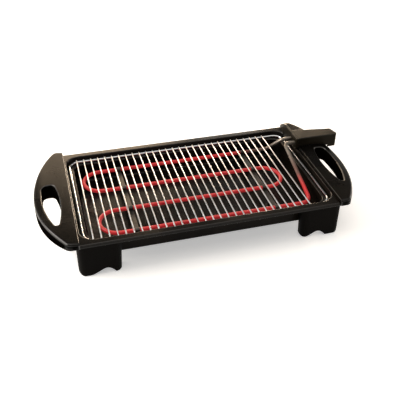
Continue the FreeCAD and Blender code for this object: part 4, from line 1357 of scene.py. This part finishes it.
def rounded_corner(corner, before, after, radius):
    """Arc in plan that turns from one direction to the next."""
    turn = math.atan2(before[0] * after[1] - before[1] * after[0],
                      before[0] * after[0] + before[1] * after[1])
    back_off = radius * math.tan(turn / 2)
    start = math.atan2(-before[0], before[1])
    middle = (corner[0] - before[0] * back_off - before[1] * radius,
              corner[1] - before[1] * back_off + before[0] * radius)
    return sweep(middle, radius, start, start + turn, CORNER_STEPS)


def cover_loop(size, inset):
    """Plan of the cover, drawn in, from its near front corner round by the far end."""
    near, front = size.plate_out, size.front + inset
    slant = size.skew / (size.width - size.taper)
    slope = size.taper / (size.end - size.skew - near)
    end = size.end - inset * math.hypot(1, slant)
    back = size.front + size.width - inset * math.hypot(1, slope)

    def back_y(x):
        return back - slope * (x - near)

    far_x = (end - slant * (back + slope * near - size.front)) / (1 - slant * slope)
    corners = ((end - slant * inset, front), (far_x, back_y(far_x)))
    headings = ((1.0, 0.0), Vector((-slant, 1.0)).normalized(), Vector((-1.0, slope)).normalized())
    stops = (near, near, size.nose - HAIR, size.nose)
    loop = [(x, front) for x in stops]
    for corner, before, after in zip(corners, headings, headings[1:]):
        loop += rounded_corner(corner, before, after, max(size.far_round - inset, HAIR))
    return loop + [(x, back_y(x)) for x in reversed(stops)]


def cover_rings(size):
    """Rings of the hollow cover from its ceiling, round its lower edge and up to its top."""
    last = len(cover_loop(size, 0.0)) - 1
    ceiling = size.high - size.wall

    def ring(inset, level):
        return [Vector((MIDDLE_X + x, y, level(i, x)))
                for i, (x, y) in enumerate(cover_loop(size, inset))]

    def flat(z):
        return lambda i, x: z

    def hem(up):
        """Lower edge: open towards the end plate, deeper past the handle."""
        def level(i, x):
            if i in (0, last):
                return ceiling
            return (size.low if x < size.nose - HAIR / 2 else size.nose_low) + up
        return level

    steps = [(size.wall, flat(ceiling)), (size.wall, hem(HAIR)), (size.wall - HAIR, hem(0.0)),
             (HAIR, hem(0.0)), (0.0, hem(HAIR))]
    steps += [(size.edge * cosine, flat(size.high - size.edge * sine)) for sine, cosine in BEND]
    return [ring(inset, level) for inset, level in steps]


class GRILL_OT_control(bpy.types.Operator):
    """Control box over the right-hand handle, with its end plate and cord inlet"""
    bl_idname = "grill.control"
    bl_label = "Control box"

    def execute(self, context):
        size = context.scene.grill_control
        out, middle = far_slope(size)
        cover = solid("control_hood", *loft(cover_rings(size)))
        bore = (size.inlet_bush + size.fit) / 2
        cut_away(cover, *loft(turned([(bore, -BORE_REACH), (bore, BORE_REACH)], out, middle)))
        mark_edges(smooth(cover))
        settle(cover, "satin_box", "heater_unit", "control_plastic", "control_cover")
        self.end_plate(size)
        self.inlet(size, out, middle)
        return {"FINISHED"}

    def end_plate(self, size):
        """Plate that carries both ends of the tube."""
        small = size.plate_round
        front, back, low, high = size.plate_front, size.plate_back, size.low, size.high
        corner = sweep((back - small, high - small), small, 0.0, QUARTER, PLATE_CORNER_POINTS)
        face = [(front, low), (back, low), *corner, (front, high)]
        rings = [[Vector((MIDDLE_X + x, y, z)) for y, z in face]
                 for x in (size.plate_in, size.plate_out)]
        plate = solid("shield_plate", *loft(rings))
        rounding = plate.modifiers.new("Edges", "BEVEL")
        rounding.width = size.plate_edge
        rounding.segments = PLATE_EDGE_STEPS
        rounding.limit_method = "ANGLE"
        rounding.angle_limit = math.radians(PLATE_EDGE_ANGLE)
        smooth(bake(plate))
        settle(plate, "satin_box", "heater_unit", "control_plastic", "element_end_plate")

    def inlet(self, size, out, middle):
        """Rubber bush with a flange on each side of the wall."""
        bush, flange, bore = size.inlet_bush / 2, size.inlet_flange / 2, size.inlet_bore / 2
        wall = size.wall + size.fit
        high, low, soft = size.inlet_sheet, -wall - size.inlet_sheet, size.inlet_sheet / 3
        profile = [(bore, high - soft), (bore + soft, high), (flange - soft, high),
                   (flange, high - soft), (flange, 0.0), (bush, 0.0), (bush, -wall),
                   (flange, -wall), (flange, low + soft), (flange - soft, low),
                   (bore + soft, low), (bore, low + soft)]
        rings = turned(profile, out, middle)
        grommet = smooth(solid("inlet_grommet", *loft(rings, wrap=True)), INLET_CRISP_ANGLE)
        settle(grommet, "soft_rubber", "heater_unit", "inlet_rubber", "cord_inlet_bush")


# Fixings under the tray

SHANK_SIDES = 20
HEAD_SIDES = 24
NUT_SIDES = 6
HEAD_CROWN = 0.72             # share of a screw head's width at its lowest face
RECESS_WIDTH = 0.45           # share of the shank's radius


def cross_head_screws(tree, start):
    """Screws from below, with a tapered head and a cross recess, one on each point."""
    deep = start["Head height"]
    radius = calc(tree, "MULTIPLY", start["Shank"], 0.5)
    head = calc(tree, "MULTIPLY", start["Head"], 0.5)
    low = along_axis(tree, "Z", calc(tree, "MULTIPLY", deep, -1.0))
    cap = add(tree, "GeometryNodeMeshCone",
              {"Vertices": HEAD_SIDES, "Side Segments": 1, "Radius Top": head,
               "Radius Bottom": calc(tree, "MULTIPLY", head, HEAD_CROWN), "Depth": deep})
    thin = add(tree, "ShaderNodeCombineXYZ",
               {"X": head, "Y": calc(tree, "MULTIPLY", radius, RECESS_WIDTH), "Z": deep})
    blades = [moved(tree, add(tree, "GeometryNodeMeshCube", {"Size": thin}), low, (0.0, 0.0, turn))
              for turn in (0.0, QUARTER)]
    cut = add(tree, "GeometryNodeMeshBoolean", {"Mesh 1": moved(tree, cap, low), "Mesh 2": blades},
              operation="DIFFERENCE", solver="EXACT")
    shank = add(tree, "GeometryNodeMeshCylinder",
                {"Vertices": SHANK_SIDES, "Radius": radius, "Depth": start["Length"]})
    up = along_axis(tree, "Z", calc(tree, "MULTIPLY", start["Length"], 0.5))
    whole = add(tree, "GeometryNodeJoinGeometry", {0: [cut, moved(tree, shank, up)]})
    return stood(tree, start["Geometry"], whole)


def hanging_bars(tree, start):
    """Round or many-sided bars that hang down from points."""
    bar = add(tree, "GeometryNodeMeshCylinder",
              {"Vertices": start["Sides"], "Radius": start["Radius"], "Depth": start["Height"]})
    hung = moved(tree, bar, along_axis(tree, "Z", calc(tree, "MULTIPLY", start["Height"], -0.5)))
    return stood(tree, start["Geometry"], hung)


class GRILL_OT_fixings(bpy.types.Operator):
    """Handle screws, leg studs and nuts under the tray"""
    bl_idname = "grill.fixings"
    bl_label = "Fixings"

    def execute(self, context):
        size = context.scene.grill_fixings
        tray = context.scene.grill_tray
        under_rim = RIM_TOP - tray.sheet
        under_ledge = under_rim - tray.ledge_drop
        seat = under_ledge - context.scene.grill_leg.shoulder
        screws = [(MIDDLE_X + side * size.screw_x, y, under_rim)
                  for side, row in ((-1, size.left_screws), (1, size.right_screws)) for y in row]
        studs = [(MIDDLE_X + side * x, end * size.stud_y) for side in (-1, 1) for end in (-1, 1)
                 for x in (size.stud_inner, size.stud_outer)]
        sets = (
            ("grip_screws", "handle_screws", screws, cross_head_screws,
             {"Shank": size.screw, "Length": size.screw_tip - under_rim,
              "Head": size.screw_head, "Head height": size.screw_head_deep}),
            ("weld_studs", "leg_studs", [(x, y, under_ledge) for x, y in studs], hanging_bars,
             {"Sides": SHANK_SIDES, "Radius": size.stud / 2, "Height": size.stud_length}),
            ("hex_nuts", "leg_nuts", [(x, y, seat) for x, y in studs], hanging_bars,
             {"Sides": NUT_SIDES, "Radius": size.nut_flats / math.sqrt(3),
              "Height": size.nut_height}),
        )
        for name, node, points, build, values in sets:
            made = run_tree(bare_points(name, points), build, values)
            settle(made, "zinc_steel", "base", "fastener_steel", node)
        return {"FINISHED"}


INNER_FINISHES = {
    "left_element_brace": "rolled_strip", "right_element_brace": "rolled_strip",
    "terminal_pins": "zinc_steel", "control_screws": "zinc_steel", "thermal_cutout": "zinc_steel",
    "insulating_bushes": "pressed_ceramic", "terminal_block": "pressed_ceramic",
    "element_leads": "woven_sleeve", "control_base": "satin_box",
}


class GRILL_OT_inner_parts(bpy.types.Operator):
    """Finishes for the braces and for what sits inside the control box"""
    bl_idname = "grill.inner_parts"
    bl_label = "Braces and inner parts"

    def execute(self, context):
        for node, look in INNER_FINISHES.items():
            dress(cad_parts[node].data, look)
        return {"FINISHED"}


# Studio

CAMERA_PLACE = Vector((-0.229, -0.833, 0.639))   # from the tray's middle
CAMERA_YAW = math.radians(16.03)
CAMERA_PITCH = math.radians(35.82)
CAMERA_ROLL = math.radians(0.68)
CAMERA_LENS = 54.78
CAMERA_SENSOR = 36.0
CAMERA_FAR = 50.0
FLOOR_HALF = 6.0
FLOOR_DROP = 0.0005           # floor below the feet
FLOOR_SHADE = 0.985           # how much darker the floor is in places
FLOOR_CLOUDS = 1.5            # how many such places, per metre
HORIZON_BAND = (0.10, 0.34)   # heights in the surround, 1 straight overhead
OVERHEAD_BAND = (0.80, 0.90)

# Soft lights: colour, size, place and what they point at
LIGHTS = {
    "back_softbox": ("warm", (0.75, 0.32), (-0.16, 1.15, 0.52), (-0.15, 0.0, 0.06)),
    "low_card": ("warm", (0.35, 0.2), (0.63, 1.2, 0.22), (0.0, 0.0, 0.06)),
    "wire_card": ("mild", (0.25, 0.25), (0.43, 1.15, 0.5), (-0.2, 0.0, 0.06)),
    "left_softbox": ("mild", (0.9, 0.9), (-1.25, 0.25, 0.62), (-0.25, 0.0, 0.06)),
    "right_softbox": ("mild", (0.5, 0.5), (1.35, 0.3, 0.45), (0.25, 0.0, 0.06)),
}


class GRILL_OT_studio(bpy.types.Operator):
    """Pale floor, soft lights, surround and camera"""
    bl_idname = "grill.studio"
    bl_label = "Studio"

    def execute(self, context):
        studio = context.scene.grill_studio
        self.floor(studio)
        context.scene.world = self.surround(studio)
        for name, (colour, size, where, aim) in LIGHTS.items():
            light = bpy.data.lights.new(name, "AREA")
            light.shape = "RECTANGLE"
            light.size, light.size_y = size
            light.energy = getattr(studio, name)
            light.color = getattr(studio, colour)[:3]
            lamp = link(name, light)
            lamp.location = where
            lamp.rotation_euler = (Vector(aim) - Vector(where)).to_track_quat("-Z", "Y").to_euler()
        context.scene.view_settings.view_transform = "Standard"
        context.scene.camera = self.camera()
        return {"FINISHED"}

    def surround(self, studio):
        """Studio round about: a wide light overhead, dim walls and a pale horizon."""
        world = bpy.data.worlds.new("studio_walls")
        world.use_nodes = True
        tree = world.node_tree
        height = upward(tree, add(tree, "ShaderNodeTexCoord", out="Generated"))
        low = eased(tree, height, *HORIZON_BAND, studio.horizon, studio.walls)
        high = eased(tree, height, *OVERHEAD_BAND, 0.0, studio.overhead)
        sockets = tree.nodes["Background"].inputs
        fill(tree, sockets["Strength"], calc(tree, "ADD", low, high))
        fill(tree, sockets["Color"], studio.mild)
        return world

    def floor(self, studio):
        """Large pale floor under the feet."""
        mesh = bpy.data.meshes.new("studio_floor")
        square = ((-1, -1), (1, -1), (1, 1), (-1, 1))
        mesh.from_pydata([(x * FLOOR_HALF, y * FLOOR_HALF, 0.0) for x, y in square], [],
                         [(0, 1, 2, 3)])
        floor = link("studio_floor", mesh)
        floor.location = (0.0, 0.0, -FLOOR_DROP)
        material, tree, where = new_material("pale_floor")
        cloud = noise(tree, where, FLOOR_CLOUDS, detail=3.0)
        tone = mixed(tree, cloud, studio.floor, shaded(studio.floor, FLOOR_SHADE))
        mesh.materials.append(finished(material, {
            "Base Color": tone, "Emission Color": tone, "Emission Strength": studio.floor_glow,
            "Roughness": 0.9, "Specular IOR Level": 0.1,
        }))

    def camera(self):
        """Camera at the photograph's place."""
        data = bpy.data.cameras.new("studio_camera")
        data.lens = CAMERA_LENS
        data.sensor_width = CAMERA_SENSOR
        data.clip_end = CAMERA_FAR
        camera = link("studio_camera", data)
        level = math.cos(CAMERA_PITCH)
        ahead = Vector((math.sin(CAMERA_YAW) * level, math.cos(CAMERA_YAW) * level,
                        -math.sin(CAMERA_PITCH)))
        right = Vector((math.cos(CAMERA_YAW), -math.sin(CAMERA_YAW), 0.0))
        up = right.cross(ahead)
        c, s = math.cos(CAMERA_ROLL), math.sin(CAMERA_ROLL)
        turn = Matrix((c * right + s * up, c * up - s * right, -ahead)).transposed().to_4x4()
        camera.matrix_world = Matrix.Translation(CAMERA_PLACE + Vector((MIDDLE_X, 0.0, 0.0))) @ turn
        return camera


OPERATORS = (
    GRILL_OT_tray,
    GRILL_OT_handles,
    GRILL_OT_legs,
    GRILL_OT_rack,
    GRILL_OT_element,
    GRILL_OT_control,
    GRILL_OT_fixings,
    GRILL_OT_inner_parts,
    GRILL_OT_studio,
)


class GRILL_PT_pieces(bpy.types.Panel):
    """Lists the grill's pieces, its sizes and its finishes"""
    bl_idname = "GRILL_PT_pieces"
    bl_label = "Tabletop grill"
    bl_space_type = "VIEW_3D"
    bl_region_type = "UI"
    bl_category = "Grill"

    def draw(self, context):
        layout = self.layout
        for operator in OPERATORS:
            layout.operator(operator.bl_idname)
        for name, group in GROUPS.items():
            box = layout.box()
            box.label(text=group.__name__.replace("Grill", ""))
            for key in group.__annotations__:
                box.prop(getattr(context.scene, name), key)


CLASSES = (*GROUPS.values(), *OPERATORS, GRILL_PT_pieces)


def register():
    for item in CLASSES:
        bpy.utils.register_class(item)
    for name, group in GROUPS.items():
        setattr(bpy.types.Scene, name, bpy.props.PointerProperty(type=group))


def unregister():
    for name in GROUPS:
        delattr(bpy.types.Scene, name)
    for item in reversed(CLASSES):
        bpy.utils.unregister_class(item)


def main():
    register()
    for operator in OPERATORS:
        family, name = operator.bl_idname.split(".")
        getattr(getattr(bpy.ops, family), name)()


if __name__ == "__main__":
    main()
